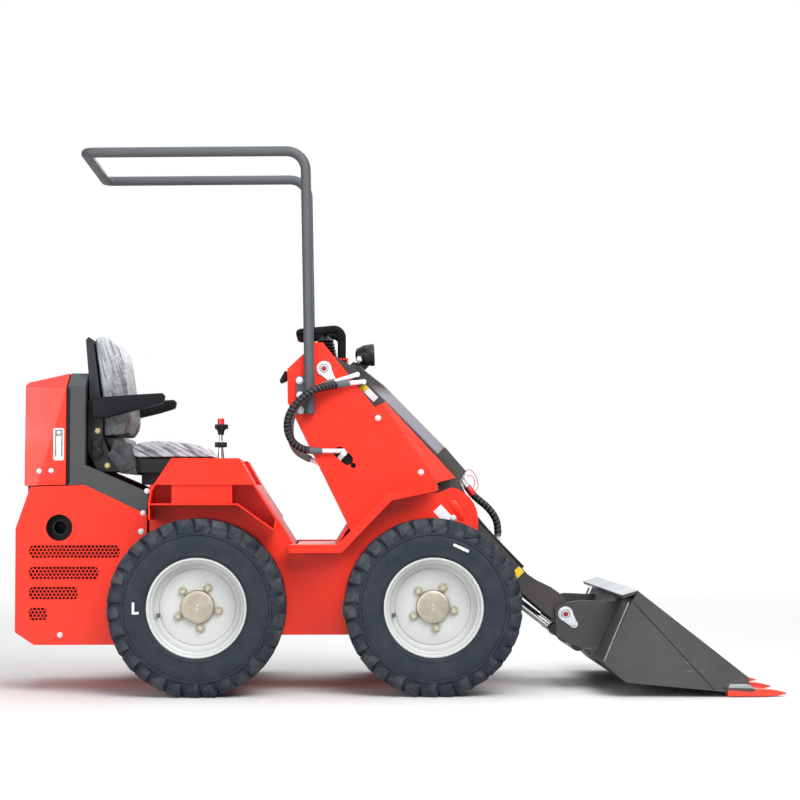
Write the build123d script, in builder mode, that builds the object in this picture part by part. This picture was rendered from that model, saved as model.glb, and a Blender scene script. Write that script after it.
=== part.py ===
"""Small ride-on skid steer loader: chassis, tower, lift arms, bucket, seat, hood, hoop and wheels.

Millimetres, +X forward, +Y left, +Z up, Z = 0 on the ground under the wheels.
Side-view outlines are lists of (x, z) points. Distances called near and far are
measured from the centre plane to the machine's right.
"""
from build123d import *
from math import cos, hypot, radians, sin, tan
import os

# Body shell, half width first: the wheels, arms, hoop and seat take their places from it
BODY_HALF = 300

# Wheels and axles
WHEEL_RADIUS = 290
TYRE_INNER = BODY_HALF + 14
TYRE_WIDTH = 216
RIM_RADIUS = 163
LUG_HEIGHT = 17
LUG_COUNT = 15
NUT_CIRCLE = 70
NUT_COUNT = 5
FRONT_AXLE_X = 119
REAR_AXLE_X = -651
AXLE_Z = WHEEL_RADIUS
DISC_INNER = 12

# Body sheets and levels
SHEET = 6
THIN_SHEET = 4
BELLY_Z = 189
COVER_BASE_Z = 157
FLOOR_Z = 488
DECK_Z = 690
REAR_X = -1267
FRAME_REAR_X = -822
COVER_FRONT_X = -830
TOWER_SHEET = 6
FENDER_OUTER = BODY_HALF + 140
FLANGE_OUTER = BODY_HALF + 100
SEAT_GAP = 0.3

# Lift arms and their cylinders
PIVOT = (-239.5, 1080)
BUCKET_PIN = (575, 255.5)
ARM_HALF = BODY_HALF - 50
ARM_SHEET = 12
LIFT_BASE = (-136, 232)
LIFT_EYE = (-71, 824)
LIFT_Y = ARM_HALF - 60
LIFT_BARREL_RADIUS = 32
LIFT_ROD_RADIUS = 18
TILT_BASE = (159, 494)
TILT_EYE = (562, 188)
TILT_BARREL_RADIUS = 30
TILT_ROD_RADIUS = 15
ROD_CLEARANCE = 1
PIN_RADIUS = 15
PIN_CLEARANCE = 0.08

# Bucket and its carrier
BUCKET_HALF = 540
BUCKET_SHEET = 8
CARRIER_HALF = ARM_HALF + 20
BUCKET_TOP = (767, 318)
BUCKET_HEEL = (671, 113)
TOOTH_TIP_X = 1267
TOOTH_WIDTH = 60
TOOTH_SPACING = (BUCKET_HALF - TOOTH_WIDTH / 2) / 2

# Hood, seat and hoop
HOOD_FRONT_X = -1101
HOOD_REAR_X = HOOD_FRONT_X - 138.5
HOOD_BASE_Z = 695
HOOP_TUBE = 17
HOOP_Y = BODY_HALF + TOWER_SHEET + HOOP_TUBE + 10
HOOP_TOP_Z = 1810
SEAT_HALF = BODY_HALF - 65

INSIDE = BODY_HALF - SHEET
TOWER_OUTER = BODY_HALF + TOWER_SHEET
ARM_INSIDE = ARM_HALF - ARM_SHEET
TYRE_OUTER = TYRE_INNER + TYRE_WIDTH
TYRE_MIDDLE = TYRE_INNER + TYRE_WIDTH / 2

os.makedirs("parts", exist_ok=True)


def slab(outline, near, far, mode=Mode.ADD):
    """Side-view outline made thick between two distances from the centre plane."""
    with BuildSketch(Plane.XZ.offset(near)) as face:
        with BuildLine():
            Polyline(*outline, close=True)
        make_face()
    extrude(face.sketch, amount=far - near, dir=(0, -1, 0), mode=mode)


def round_bar(centre, radius, near, far, mode=Mode.ADD):
    """Round bar or hole across the machine."""
    with BuildSketch(Plane.XZ.offset(near)) as face:
        with Locations(centre):
            Circle(radius)
    extrude(face.sketch, amount=far - near, dir=(0, -1, 0), mode=mode)


def bent_bar(points, bend, radius, mode=Mode.ADD):
    """Round bar along straight runs joined by bends."""
    with BuildLine() as path:
        FilletPolyline(*points, radius=bend)
    with BuildSketch(Plane(origin=path.line @ 0, z_dir=path.line % 0)) as ring:
        Circle(radius)
    sweep(ring.sketch, path=path.line, mode=mode)


def offset_line(points, distance):
    """Points of an open line moved sideways, to the left of its run where positive."""
    moved = []
    for index, (x, z) in enumerate(points):
        normals = []
        for start, end in ((index - 1, index), (index, index + 1)):
            if start >= 0 and end < len(points):
                dx, dz = points[end][0] - points[start][0], points[end][1] - points[start][1]
                normals.append((-dz / hypot(dx, dz), dx / hypot(dx, dz)))
        nx = sum(n[0] for n in normals) / len(normals)
        nz = sum(n[1] for n in normals) / len(normals)
        scale = distance / (nx * nx + nz * nz)
        moved.append((x + nx * scale, z + nz * scale))
    return moved


def folded(line, thickness, near, far, mode=Mode.ADD):
    """Sheet folded along an open side-view line, its thickness to the left of the run."""
    slab(list(line) + offset_line(line, thickness)[::-1], near, far, mode)


def along(start, end, distance, side=0.0):
    """Point at a distance along the line from start to end, and a distance to its left."""
    dx, dz = end[0] - start[0], end[1] - start[1]
    ux, uz = dx / hypot(dx, dz), dz / hypot(dx, dz)
    return (start[0] + ux * distance - uz * side, start[1] + uz * distance + ux * side)


def arm(distance, side=0.0):
    """Point in the lift arm's own axes: along it from the pivot, and above its line."""
    return along(PIVOT, BUCKET_PIN, distance, side)


def bar_plane(start, end, y):
    """Plane across a cylinder at its base pin, facing along it."""
    return Plane(origin=(start[0], y, start[1]), x_dir=(0, 1, 0),
                 z_dir=(end[0] - start[0], 0, end[1] - start[1]))


def save(piece, name):
    piece.part.label = name
    export_step(piece.part, f"parts/{name}.step")


ARM_LENGTH = hypot(BUCKET_PIN[0] - PIVOT[0], BUCKET_PIN[1] - PIVOT[1])
LIFT_LENGTH = hypot(LIFT_EYE[0] - LIFT_BASE[0], LIFT_EYE[1] - LIFT_BASE[1])
TILT_LENGTH = hypot(TILT_EYE[0] - TILT_BASE[0], TILT_EYE[1] - TILT_BASE[1])

# Chassis: side plates, belly, walls, seat deck, cylinder ears and nose lips
NOSE_X, NOSE_RADIUS, NOSE_CENTRE_Z = 278, 108, 575
NOSE = [(NOSE_X, 300)] + [(NOSE_X + NOSE_RADIUS * (cos(radians(a)) - 1), NOSE_CENTRE_Z + NOSE_RADIUS * sin(radians(a)))
                          for a in range(0, 81, 10)]
POCKET = [(178, 632), (201, 646), (241, 594), (222, 569)]
POCKET_DEPTH = 3
frame_side = [(FRAME_REAR_X, BELLY_Z), (228, BELLY_Z)] + NOSE + [
    (146, 664), (-28, 655), (-192, FLOOR_Z), (-338, FLOOR_Z), (-466, DECK_Z), (FRAME_REAR_X, DECK_Z)]
ear_line = [(LIFT_BASE[0] - 42, BELLY_Z + 5), (LIFT_BASE[0] + 42, BELLY_Z + 5),
            (LIFT_BASE[0] + 22, LIFT_BASE[1] + 20), (LIFT_BASE[0] - 22, LIFT_BASE[1] + 20)]
LIFT_EYE_HALF = 30
RAIL_Z = COVER_BASE_Z + THIN_SHEET
EAR_SHEET = 8
with BuildPart() as main_frame:
    slab(frame_side, INSIDE, BODY_HALF)
    with BuildSketch(Plane.XZ.offset(BODY_HALF)) as pocket:
        with BuildLine():
            Polyline(*POCKET, close=True)
        make_face()
        fillet(pocket.vertices(), 8)
    extrude(pocket.sketch, amount=POCKET_DEPTH, dir=(0, 1, 0), mode=Mode.SUBTRACT)
    folded(NOSE, SHEET, INSIDE - 28, INSIDE)
    for ear_near in (LIFT_Y - LIFT_EYE_HALF - 5 - EAR_SHEET, LIFT_Y + LIFT_EYE_HALF + 5):
        slab(ear_line, ear_near, ear_near + EAR_SHEET)
    round_bar(LIFT_BASE, PIN_RADIUS, LIFT_Y - LIFT_EYE_HALF - 12, LIFT_Y + LIFT_EYE_HALF + 12)
    # rails that carry the engine behind the cab wall
    slab([(-1180, RAIL_Z), (FRAME_REAR_X + 1, RAIL_Z), (FRAME_REAR_X + 1, 215), (-1180, 215)],
         BODY_HALF - 95, BODY_HALF - 55)
    mirror(about=Plane.XZ)
    folded([(FRAME_REAR_X, BELLY_Z), (228, BELLY_Z)], SHEET, -INSIDE, INSIDE)
    folded([(FRAME_REAR_X + SHEET, BELLY_Z + SHEET), (FRAME_REAR_X + SHEET, 560)], SHEET, -INSIDE, INSIDE)
    folded([(-338, FLOOR_Z), (-466, DECK_Z), (FRAME_REAR_X, DECK_Z)], SHEET, -INSIDE, INSIDE)
save(main_frame, "main_frame")

with BuildPart() as floor_plate:
    folded([(-160, 552), (-200, FLOOR_Z), (-330, FLOOR_Z)], SHEET, SEAT_GAP - INSIDE, INSIDE - SEAT_GAP)
save(floor_plate, "floor_plate")

# Tower side plates, the flange over the front wheel and the folded front edge
FLANGE = [(-355, 492), (-192, 492), (-28, 663), (135, 697)]
CREASE = ((-43, 963), (142, 698))
TOWER_BACK = [(-150, 536), (-361, 965), (-363, 1078), (-307, 1131)]
tower_line = ([(-276, 1168), (-244, 1168), (-69, 950), CREASE[0], CREASE[1]]
              + offset_line(FLANGE[::-1], THIN_SHEET) + FLANGE[:2] + TOWER_BACK)
STRIP_LEAN = 25
with BuildPart() as tower_side_right:
    slab(tower_line, BODY_HALF, TOWER_OUTER)
    folded(FLANGE[::-1], THIN_SHEET, TOWER_OUTER - 1, FLANGE_OUTER)
    folded(FLANGE[::-1], 27, FLANGE_OUTER - THIN_SHEET, FLANGE_OUTER)
    # front strip folded inwards past the crease
    crease = Vector(CREASE[1][0] - CREASE[0][0], 0, CREASE[1][1] - CREASE[0][1])
    outward = Vector(0, -1, 0).rotate(Axis((0, 0, 0), crease), -STRIP_LEAN)
    with BuildSketch(Plane(origin=(CREASE[0][0], -TOWER_OUTER, CREASE[0][1]),
                           x_dir=crease, z_dir=outward)) as strip:
        with BuildLine():
            Polyline((0, 0), (crease.length, 0), (crease.length + 22, 66), (0, 12), close=True)
        make_face()
    extrude(strip.sketch, amount=-THIN_SHEET)
    # hose hole and round hole
    with BuildSketch(Plane.XZ.offset(BODY_HALF)) as holes:
        with Locations(Location((-174, 787, 0), (0, 0, -42))):
            SlotOverall(74, 37)
        with Locations((-141, 755)):
            Circle(9)
    extrude(holes.sketch, amount=TOWER_SHEET, dir=(0, -1, 0), mode=Mode.SUBTRACT)
    round_bar(PIVOT, PIN_RADIUS + PIN_CLEARANCE, BODY_HALF, TOWER_OUTER, mode=Mode.SUBTRACT)
save(tower_side_right, "tower_side_right")

with BuildPart() as tower_side_left:
    mirror(tower_side_right.part, about=Plane.XZ)
save(tower_side_left, "tower_side_left")

# Rear wall of the tower, facing the seat, and the shelf for the levers
SHELF_Z = 1117
SHELF_HALF = BODY_HALF - 120
SHELF_FRONT_X = -158
TOWER_WALL = offset_line(TOWER_BACK[::-1], 10)
with BuildPart() as tower_back:
    folded(TOWER_WALL[:3] + [along(TOWER_WALL[2], TOWER_WALL[3], 455)], SHEET, -BODY_HALF, BODY_HALF)
    slab([(-301, SHELF_Z), (SHELF_FRONT_X - SHEET, SHELF_Z), (SHELF_FRONT_X - SHEET, SHELF_Z - 20),
          (SHELF_FRONT_X, SHELF_Z - 20), (SHELF_FRONT_X, SHELF_Z + SHEET), (-301, SHELF_Z + SHEET)],
         -SHELF_HALF, SHELF_HALF)
save(tower_back, "tower_back")

# Rear cover around the engine: a folded shell with exhaust hole and vent slots
COVER_TOP = [(-830, 590), (-1038, 689), (-1219, 683)]
COVER_WRAP = COVER_TOP + [(REAR_X, 544), (REAR_X, 199), (-1204, COVER_BASE_Z), (COVER_FRONT_X, COVER_BASE_Z)]
EXHAUST = (-1122, 547)
# vent slots: lower edge z, front end x; all start at VENT_REAR_X
VENTS = [(446, -921), (375, -991), (308, -1059), (238.5, -1160)]
VENT_REAR_X = -1221
VENT_HEIGHT = 42
HOOD_HINGE = (-1234, 688.5)
HINGE_PIN = 3.5
HINGE_EARS = (74 - BODY_HALF, 140 - BODY_HALF, BODY_HALF - 146, BODY_HALF - 80)
with BuildPart() as rear_cover:
    folded(COVER_WRAP, THIN_SHEET, -BODY_HALF, BODY_HALF)
    slab(COVER_WRAP, BODY_HALF - THIN_SHEET, BODY_HALF)
    slab(COVER_WRAP, -BODY_HALF, THIN_SHEET - BODY_HALF)
    round_bar(EXHAUST, 44, BODY_HALF - THIN_SHEET, BODY_HALF, mode=Mode.SUBTRACT)
    for near in (BODY_HALF - THIN_SHEET, -BODY_HALF):
        for z, front in VENTS:
            with BuildSketch(Plane.XZ.offset(near)) as slot:
                with Locations(((VENT_REAR_X + front) / 2, z + VENT_HEIGHT / 2)):
                    RectangleRounded(front - VENT_REAR_X, VENT_HEIGHT, 14)
            extrude(slot.sketch, amount=THIN_SHEET, dir=(0, -1, 0), mode=Mode.SUBTRACT)
    # ears and pins of the hood's hinges
    for near in HINGE_EARS:
        slab([(-1234, 694), (-1212, 690), (-1212, 680), (-1222, 672), (-1237, 684)], near, near + 6)
    for near in (HINGE_EARS[0], HINGE_EARS[2]):
        round_bar(HOOD_HINGE, HINGE_PIN, near, near + 66)
save(rear_cover, "rear_cover")

# Perforated plates behind the vent slots
with BuildPart() as vent_screens:
    for near in (BODY_HALF - THIN_SHEET - 2, THIN_SHEET - BODY_HALF):
        for z, front in VENTS:
            plate = [(VENT_REAR_X - 8, z - 8), (front + 8, z - 8), (front + 8, z + VENT_HEIGHT + 8),
                     (VENT_REAR_X - 8, z + VENT_HEIGHT + 8)]
            slab(plate, near, near + 2)
save(vent_screens, "vent_screens")

# Engine and its outlet pipe
ENGINE_HALF = BODY_HALF - 130
with BuildPart() as engine_block:
    slab([(-1165, 215), (-890, 215), (-890, 540), (-940, 600), (-1165, 600)], -ENGINE_HALF, ENGINE_HALF)
    slab([(-1150, 215), (-900, 215), (-900, 240), (-1150, 240)], 60 - BODY_HALF, BODY_HALF - 60)
save(engine_block, "engine_block")

with BuildPart() as exhaust_pipe:
    round_bar(EXHAUST, 26, ENGINE_HALF, BODY_HALF - 40)
    round_bar(EXHAUST, 22, ENGINE_HALF + 10, BODY_HALF - 40, mode=Mode.SUBTRACT)
save(exhaust_pipe, "exhaust_pipe")

# Dark guard frame beside and behind the seat
LEG_FRONT_X, LEG_TOP_Z = -1038, 1020
LEG_REAR_X = LEG_FRONT_X - 57
GUARD_NEAR = BODY_HALF - 54
arm_low = [along(COVER_TOP[1], COVER_TOP[0], 1, SEAT_GAP), along(COVER_TOP[1], COVER_TOP[0], 228, SEAT_GAP)]
guard_line = [(LEG_REAR_X, 689.3), (LEG_FRONT_X, 689.3), arm_low[0], arm_low[1], (-825, 664), (LEG_FRONT_X, 756),
              (LEG_FRONT_X, LEG_TOP_Z), (LEG_REAR_X, LEG_TOP_Z)]
with BuildPart() as seat_guard:
    slab(guard_line, GUARD_NEAR, BODY_HALF)
    mirror(about=Plane.XZ)
    with BuildSketch(Plane.YZ.offset(LEG_REAR_X)) as brow:
        with BuildLine():
            Polyline((-BODY_HALF, LEG_TOP_Z), (100 - BODY_HALF, LEG_TOP_Z + 48), (BODY_HALF - 100, LEG_TOP_Z + 48),
                     (BODY_HALF, LEG_TOP_Z), (GUARD_NEAR, LEG_TOP_Z), (GUARD_NEAR - 56, LEG_TOP_Z + 24),
                     (56 - GUARD_NEAR, LEG_TOP_Z + 24), (-GUARD_NEAR, LEG_TOP_Z), close=True)
        make_face()
    extrude(brow.sketch, amount=LEG_FRONT_X - LEG_REAR_X)
save(seat_guard, "seat_guard")

# Hood: tank cover with slanted top edges, open below
# front and rear section: x, ridge height, ridge half width
HOOD_SECTIONS = [(HOOD_REAR_X, 1035, BODY_HALF - 85), (HOOD_FRONT_X, 1068, BODY_HALF - 100)]
HOOD_SIDE_TOP = 1022
with BuildPart() as hood:
    for wall, mode in ((0, Mode.ADD), (THIN_SHEET, Mode.SUBTRACT)):
        ends = []
        for (x, ridge, half), inward in zip(HOOD_SECTIONS, (1, -1)):
            with BuildSketch(Plane.YZ.offset(x + inward * wall)) as end:
                with BuildLine():
                    Polyline((-BODY_HALF + wall, HOOD_BASE_Z - wall), (-BODY_HALF + wall, HOOD_SIDE_TOP - wall / 2),
                             (-half, ridge - wall), (half, ridge - wall),
                             (BODY_HALF - wall, HOOD_SIDE_TOP - wall / 2),
                             (BODY_HALF - wall, HOOD_BASE_Z - wall), close=True)
                make_face()
            ends.append(end.sketch.faces()[0])
        loft(ends, mode=mode)
    for near in (-HINGE_EARS[3] + 0.6, HINGE_EARS[2] + 6.6):
        round_bar(HOOD_HINGE, 6.5, near, near + 58.8)
        slab([(-1239.5, 690), (-1235.5, 690), (-1235.5, 700), (-1239.5, 700)], near, near + 58.8)
        round_bar(HOOD_HINGE, HINGE_PIN + PIN_CLEARANCE, near, near + 58.8, mode=Mode.SUBTRACT)
save(hood, "hood")

with BuildPart() as hood_latches:
    slab([(-1143, 771), (-1107, 771), (-1107, 879), (-1143, 879)], BODY_HALF, BODY_HALF + 4)
    slab([(-1136, 815), (-1114, 815), (-1114, 860), (-1136, 860)], BODY_HALF + 4, BODY_HALF + 9)
    mirror(about=Plane.XZ)
save(hood_latches, "hood_latches")

# Side consoles over the rear wheels: box, recessed block, ledge and folded ends
CONSOLE_TOP = [(-797, DECK_Z), (-739, 777), (-516, 777), (-466, DECK_Z)]
LEDGE = [(-399, 541), (-522, 628), (-811, 628)]
with BuildPart() as console_right:
    slab(CONSOLE_TOP, BODY_HALF - 44, FENDER_OUTER)
    slab([(-739, 628), (-541, 628), (-541, DECK_Z + 6), (-739, DECK_Z + 6)], BODY_HALF, FENDER_OUTER - 14)
    folded(LEDGE, 5, BODY_HALF, FENDER_OUTER)
    folded([along(CONSOLE_TOP[2], CONSOLE_TOP[3], 46), CONSOLE_TOP[3], (-393, 577), (-399, 541)], -5,
           BODY_HALF, FENDER_OUTER)
    folded([along(CONSOLE_TOP[0], CONSOLE_TOP[1], 14), CONSOLE_TOP[0], (-808, 670), (-815, 628), (-814, 574)], 5,
           BODY_HALF, FENDER_OUTER)
    fillet(console_right.edges().filter_by(Axis.Y).group_by(Axis.Z)[-1], 6)
save(console_right, "console_right")
with BuildPart() as console_left:
    mirror(console_right.part, about=Plane.XZ)
save(console_left, "console_left")

# Seat: rails and pan, cushions, back shell, armrests, hinge plates and belt
PAN_Z = (732, 778)
HINGE_OUTER = SEAT_HALF + 6
with BuildPart() as seat_pan:
    slab([(-874, PAN_Z[0]), (-640, PAN_Z[0]), (-608, PAN_Z[1]), (-912, PAN_Z[1]), (-912, 748)], 20 - SEAT_HALF, SEAT_HALF - 20)
    for near in (65 - SEAT_HALF, SEAT_HALF - 105):
        slab([(-860, DECK_Z), (-640, DECK_Z), (-640, PAN_Z[0]), (-860, PAN_Z[0])], near, near + 40)
save(seat_pan, "seat_pan")

cushion_line = [(-905, 778.3), (-912, 800), (-891, 829), (-796, 834), (-701, 827), (-624, 810), (-602, 785),
                (-610, 778.3)]
with BuildPart() as seat_cushion:
    slab(cushion_line, -SEAT_HALF, SEAT_HALF)
save(seat_cushion, "seat_cushion")

BACK_JOIN = [(-1021, 1180), (-995, 985), (-990, 850)]
back_line = [(-984, 1198), (-950, 1180), (-926, 1075), (-913, 1006), (-902, 903), (-911, 847)]
with BuildPart() as seat_back_cushion:
    slab(back_line + offset_line(BACK_JOIN, 0.3)[::-1], -SEAT_HALF + 5, SEAT_HALF - 5)
save(seat_back_cushion, "seat_back_cushion")
with BuildPart() as seat_back_shell:
    slab(BACK_JOIN + [(-1008, 850), (-1031, 989), (-1036, 1076), (-1045, 1180), (-1035, 1190)], -SEAT_HALF, SEAT_HALF)
save(seat_back_shell, "seat_back_shell")

with BuildPart() as seat_hinges:
    slab([(-1006, 990), (-1034, 975), (-1034, 800), (-1000, 735), (-905, 735), (-905, 768), (-960, 790),
          (-985, 850), (-985, 985)], SEAT_HALF, HINGE_OUTER)
    slab([(-905, 740), (-880, 740), (-880, 760), (-905, 760)], SEAT_HALF - 20, HINGE_OUTER)
    round_bar((-1006, 797), 20, HINGE_OUTER, HINGE_OUTER + 17)
    mirror(about=Plane.XZ)
save(seat_hinges, "seat_hinges")

ARMREST = [(-1017, 981), (-1017, 920), (-975, 913), (-917, 929), (-831, 950), (-778, 967), (-773, 998)]
with BuildPart() as armrest_right:
    slab(ARMREST, HINGE_OUTER + SEAT_GAP, HINGE_OUTER + 50)
    fillet(armrest_right.edges().filter_by(Axis.Y), 9)
    fillet(armrest_right.edges().group_by(Axis.Y)[0], 8)
save(armrest_right, "armrest_right")
with BuildPart() as armrest_left:
    mirror(armrest_right.part, about=Plane.XZ)
save(armrest_left, "armrest_left")

BELT = [(-945, 842), (-887, 829), (-871, 755), (-866, 722), (-923, 728), (-969, 792)]
with BuildPart() as seat_belt:
    slab(BELT, HINGE_OUTER + SEAT_GAP, HINGE_OUTER + 13)
    mirror(about=Plane.XZ)
save(seat_belt, "seat_belt")

# Side lever on the right console
LEVER = (-582, -BODY_HALF - 45)
# height above the ground, radius
LEVER_STEPS = [(777, 777 + 38, 11), (815, 832, 20), (832, 857, 5), (857, 892, 15), (892, 912, 10.5)]
with BuildPart() as side_lever:
    for low, high, radius in LEVER_STEPS:
        with Locations((LEVER[0], LEVER[1], low)):
            Cylinder(radius, high - low, align=(Align.CENTER, Align.CENTER, Align.MIN))
    with Locations((LEVER[0], LEVER[1], 874)):
        with PolarLocations(16, 5):
            Cylinder(8, 18, align=(Align.CENTER, Align.CENTER, Align.MIN))
save(side_lever, "side_lever")

# Overhead hoop, its plates and the foam grip
HOOP_FEET = (-286, 928)
HOOP_KNEE_X = -303
HOOP_REAR_X = -1039
with BuildPart() as roll_hoop:
    half_path = [(HOOP_FEET[0], -HOOP_Y, HOOP_FEET[1]), (HOOP_KNEE_X, -HOOP_Y, HOOP_TOP_Z),
                 (HOOP_REAR_X, -HOOP_Y, HOOP_TOP_Z - 9)]
    bent_bar(half_path + [(x, -y, z) for x, y, z in half_path[::-1]], [65, 30, 30, 65], HOOP_TUBE)
    slab([(-332, 927), (-272, 927), (-272, 1053), (-332, 1053)], TOWER_OUTER, HOOP_Y - HOOP_TUBE + 3)
    slab([(-332, 927), (-272, 927), (-272, 1053), (-332, 1053)], -HOOP_Y + HOOP_TUBE - 3, -TOWER_OUTER)
save(roll_hoop, "roll_hoop")

GRIP_Y = BODY_HALF - 150
GRIP_TUBE = 14
grip_half = [(-179, -GRIP_Y, SHELF_Z + SHEET + SEAT_GAP), (-179, -GRIP_Y, 1226), (-323, -GRIP_Y, 1212)]
with BuildPart() as grab_bar:
    bent_bar(grip_half + [(x, -y, z) for x, y, z in grip_half[::-1]], [28, 20, 20, 28], GRIP_TUBE)
save(grab_bar, "grab_bar")

# Levers with ribbed boots on the tower's shelf
BOOT_X = -236
BOOT_RIBS = 5
with BuildPart() as control_levers:
    for y in (55 - GRIP_Y, 0, GRIP_Y - 55):
        for rib in range(BOOT_RIBS):
            with Locations((BOOT_X, y, SHELF_Z + SHEET + 14 * rib)):
                Cone(40 - 4.4 * rib, 33 - 4.4 * rib, 14, align=(Align.CENTER, Align.CENTER, Align.MIN))
        with Locations((BOOT_X, y, SHELF_Z + SHEET + 14 * BOOT_RIBS - 2)):
            Cylinder(5, 26, align=(Align.CENTER, Align.CENTER, Align.MIN))
        with Locations((BOOT_X, y, SHELF_Z + SHEET + 14 * BOOT_RIBS + 24)):
            Sphere(13)
save(control_levers, "control_levers")

# Wheel motors on the chassis sides
with BuildPart() as hub_motors:
    for x in (FRONT_AXLE_X, REAR_AXLE_X):
        round_bar((x, AXLE_Z), 80, BODY_HALF, BODY_HALF + 10)
        round_bar((x, AXLE_Z), 46, BODY_HALF + 10, TYRE_MIDDLE + DISC_INNER - SEAT_GAP)
    round_bar((-98, 276), 80, BODY_HALF, BODY_HALF + 8)
    mirror(about=Plane.XZ)
save(hub_motors, "hub_motors")

# One tyre and one rim about the Y axis, then four of each
TREAD_RADIUS = WHEEL_RADIUS - LUG_HEIGHT
BEAD_RADIUS = RIM_RADIUS + SEAT_GAP
# radius, distance from the wheel's middle plane
TYRE_PROFILE = [(BEAD_RADIUS, 94), (BEAD_RADIUS + 17, 103), (222, TYRE_WIDTH / 2), (TREAD_RADIUS - 20, 103), (TREAD_RADIUS, 86)]
LUG_THICK = 42
LUG_SKEW = 24
LUG_MIDDLE = 52
LUG_PROFILE = [(8, TREAD_RADIUS - 8), (8, WHEEL_RADIUS + 9), (96, WHEEL_RADIUS + 9),
               (TYRE_WIDTH / 2, WHEEL_RADIUS - 42), (100, WHEEL_RADIUS - 48)]
with BuildPart() as tyre_form:
    with BuildSketch(Plane.XY) as half:
        with BuildLine():
            Polyline(*TYRE_PROFILE, *[(r, -y) for r, y in TYRE_PROFILE[::-1]], close=True)
        make_face()
    revolve(half.sketch, axis=Axis.Y)
    with BuildPart(mode=Mode.PRIVATE) as lug:
        with BuildSketch(Plane.YZ.offset(-LUG_THICK / 2)) as lug_face:
            with BuildLine():
                Polyline(*LUG_PROFILE, close=True)
            make_face()
        extrude(lug_face.sketch, amount=LUG_THICK)
        with Locations(Rot(90, 0, 0)):
            Cylinder(WHEEL_RADIUS, 3 * TYRE_WIDTH, mode=Mode.INTERSECT)
    for side in (0, 1):
        turned = (Rot(0, 0, 180 * side) * Pos(0, LUG_MIDDLE, 0) * Rot(0, 0, LUG_SKEW)
                  * Pos(0, -LUG_MIDDLE, 0) * lug.part)
        for index in range(LUG_COUNT):
            add(turned.rotate(Axis.Y, 360 / LUG_COUNT * (index + side / 2)))

# radius, distance outwards from the wheel's middle plane
RIM_PROFILE = [(163, 96), (157, 96), (154, 80), (146, 74), (143, 34), (128, 20), (60, 20), (60, 26), (40, 26),
               (40, DISC_INNER), (126, DISC_INNER), (137, 26), (140, -74), (154, -80), (157, -96), (163, -96), (163, -86),
               (160, -70), (160, 70), (163, 86)]
with BuildPart() as rim_form:
    with BuildSketch(Plane.XY) as rim_half:
        with BuildLine():
            Polyline(*RIM_PROFILE, close=True)
        make_face()
    revolve(rim_half.sketch, axis=Axis.Y)
    # hub cap
    round_bar((0, 0), 54, -48, -20)
    with BuildSketch(Plane.XZ.offset(-20)) as nuts:
        with PolarLocations(NUT_CIRCLE, NUT_COUNT, start_angle=62):
            RegularPolygon(13, 6)
    extrude(nuts.sketch, amount=13, dir=(0, 1, 0))

for x, end in ((FRONT_AXLE_X, "front"), (REAR_AXLE_X, "rear")):
    for side, hand in ((-1, "right"), (1, "left")):
        turn = 0 if side > 0 else 180
        place = Location((x, side * TYRE_MIDDLE, AXLE_Z), (0, 0, turn))
        for form, kind in ((tyre_form, "tyre"), (rim_form, "rim")):
            with BuildPart() as wheel_piece:
                with Locations(place):
                    add(form.part)
            save(wheel_piece, f"{kind}_{end}_{hand}")

# Lift arms: one channel of two side plates with plates between them
# outline in the arm's own axes: distance from the pivot, height above its line
ARM_LINE = [(-46, -34), (-46, 34), (-24, 52), (46, 72), (474.5, 72), (474.5, 107), (584, 100), (586, 64), (728, 10), (976, 4), (1008, 10),
            (1062, 29), (1094, 35), (1134, 34), (1180, 28), (1197, 0), (1185, -28), (1143, -42), (1010, -55),
            (975, -46), (640, -46), (560, -62), (340, -98), (260, -98), (60, -44)]
LOWER_PLATE = [(600, 44), (728, -4), (976, -10), (1008, -4), (1062, 15), (1094, 21), (1128, 21)]
TIP_LINE = [(475, 107), (584, 100), (586, 64)]
PIN_HOLE = PIN_RADIUS + PIN_CLEARANCE
with BuildPart() as lift_arm:
    slab([arm(*p) for p in ARM_LINE], ARM_INSIDE, ARM_HALF)
    round_bar(PIVOT, PIN_HOLE, ARM_INSIDE, ARM_HALF, mode=Mode.SUBTRACT)
    round_bar(BUCKET_PIN, PIN_HOLE, ARM_INSIDE, ARM_HALF, mode=Mode.SUBTRACT)
    # heads of the lift pins
    round_bar(LIFT_EYE, 20, ARM_HALF, ARM_HALF + 5)
    # ears that hold the tilt cylinder
    slab([arm(640, 24), arm(780, -8), arm(720, -150), arm(676, -150)], 40, 50)
    mirror(about=Plane.XZ)
    round_bar(TILT_BASE, PIN_RADIUS, -46, 46)
    folded([arm(*p) for p in LOWER_PLATE[::-1]], 8, -ARM_INSIDE, ARM_INSIDE)
    folded([arm(*p) for p in TIP_LINE[::-1]], 6, -ARM_INSIDE, ARM_INSIDE)
    # tube across the arms ahead of the pivot
    round_bar(arm(150, -20), 30, -ARM_INSIDE, ARM_INSIDE)
save(lift_arm, "lift_arm")

# Cover over the arms with chamfered long edges, cut back around the levers
# distance from the pivot, height, half width of the flat top
COVER_STATIONS = [(50, 90, ARM_HALF - 18), (181, 108, ARM_HALF - 36), (474, 108, ARM_HALF - 36)]
COVER_LOW = 72
COVER_SHEET = 5
NOTCH_END = 150
NOTCH_HALF = ARM_HALF - 60


def arm_plane(distance):
    """Plane across the arms, x to the left and y away from their line."""
    start = arm(distance)
    return Plane(origin=(start[0], 0, start[1]), x_dir=(0, 1, 0),
                 z_dir=(BUCKET_PIN[0] - PIVOT[0], 0, BUCKET_PIN[1] - PIVOT[1]))


def cover_height(distance):
    (start, low, _), (end, high, _) = COVER_STATIONS[:2]
    return low + (high - low) * (distance - start) / (end - start)


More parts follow.
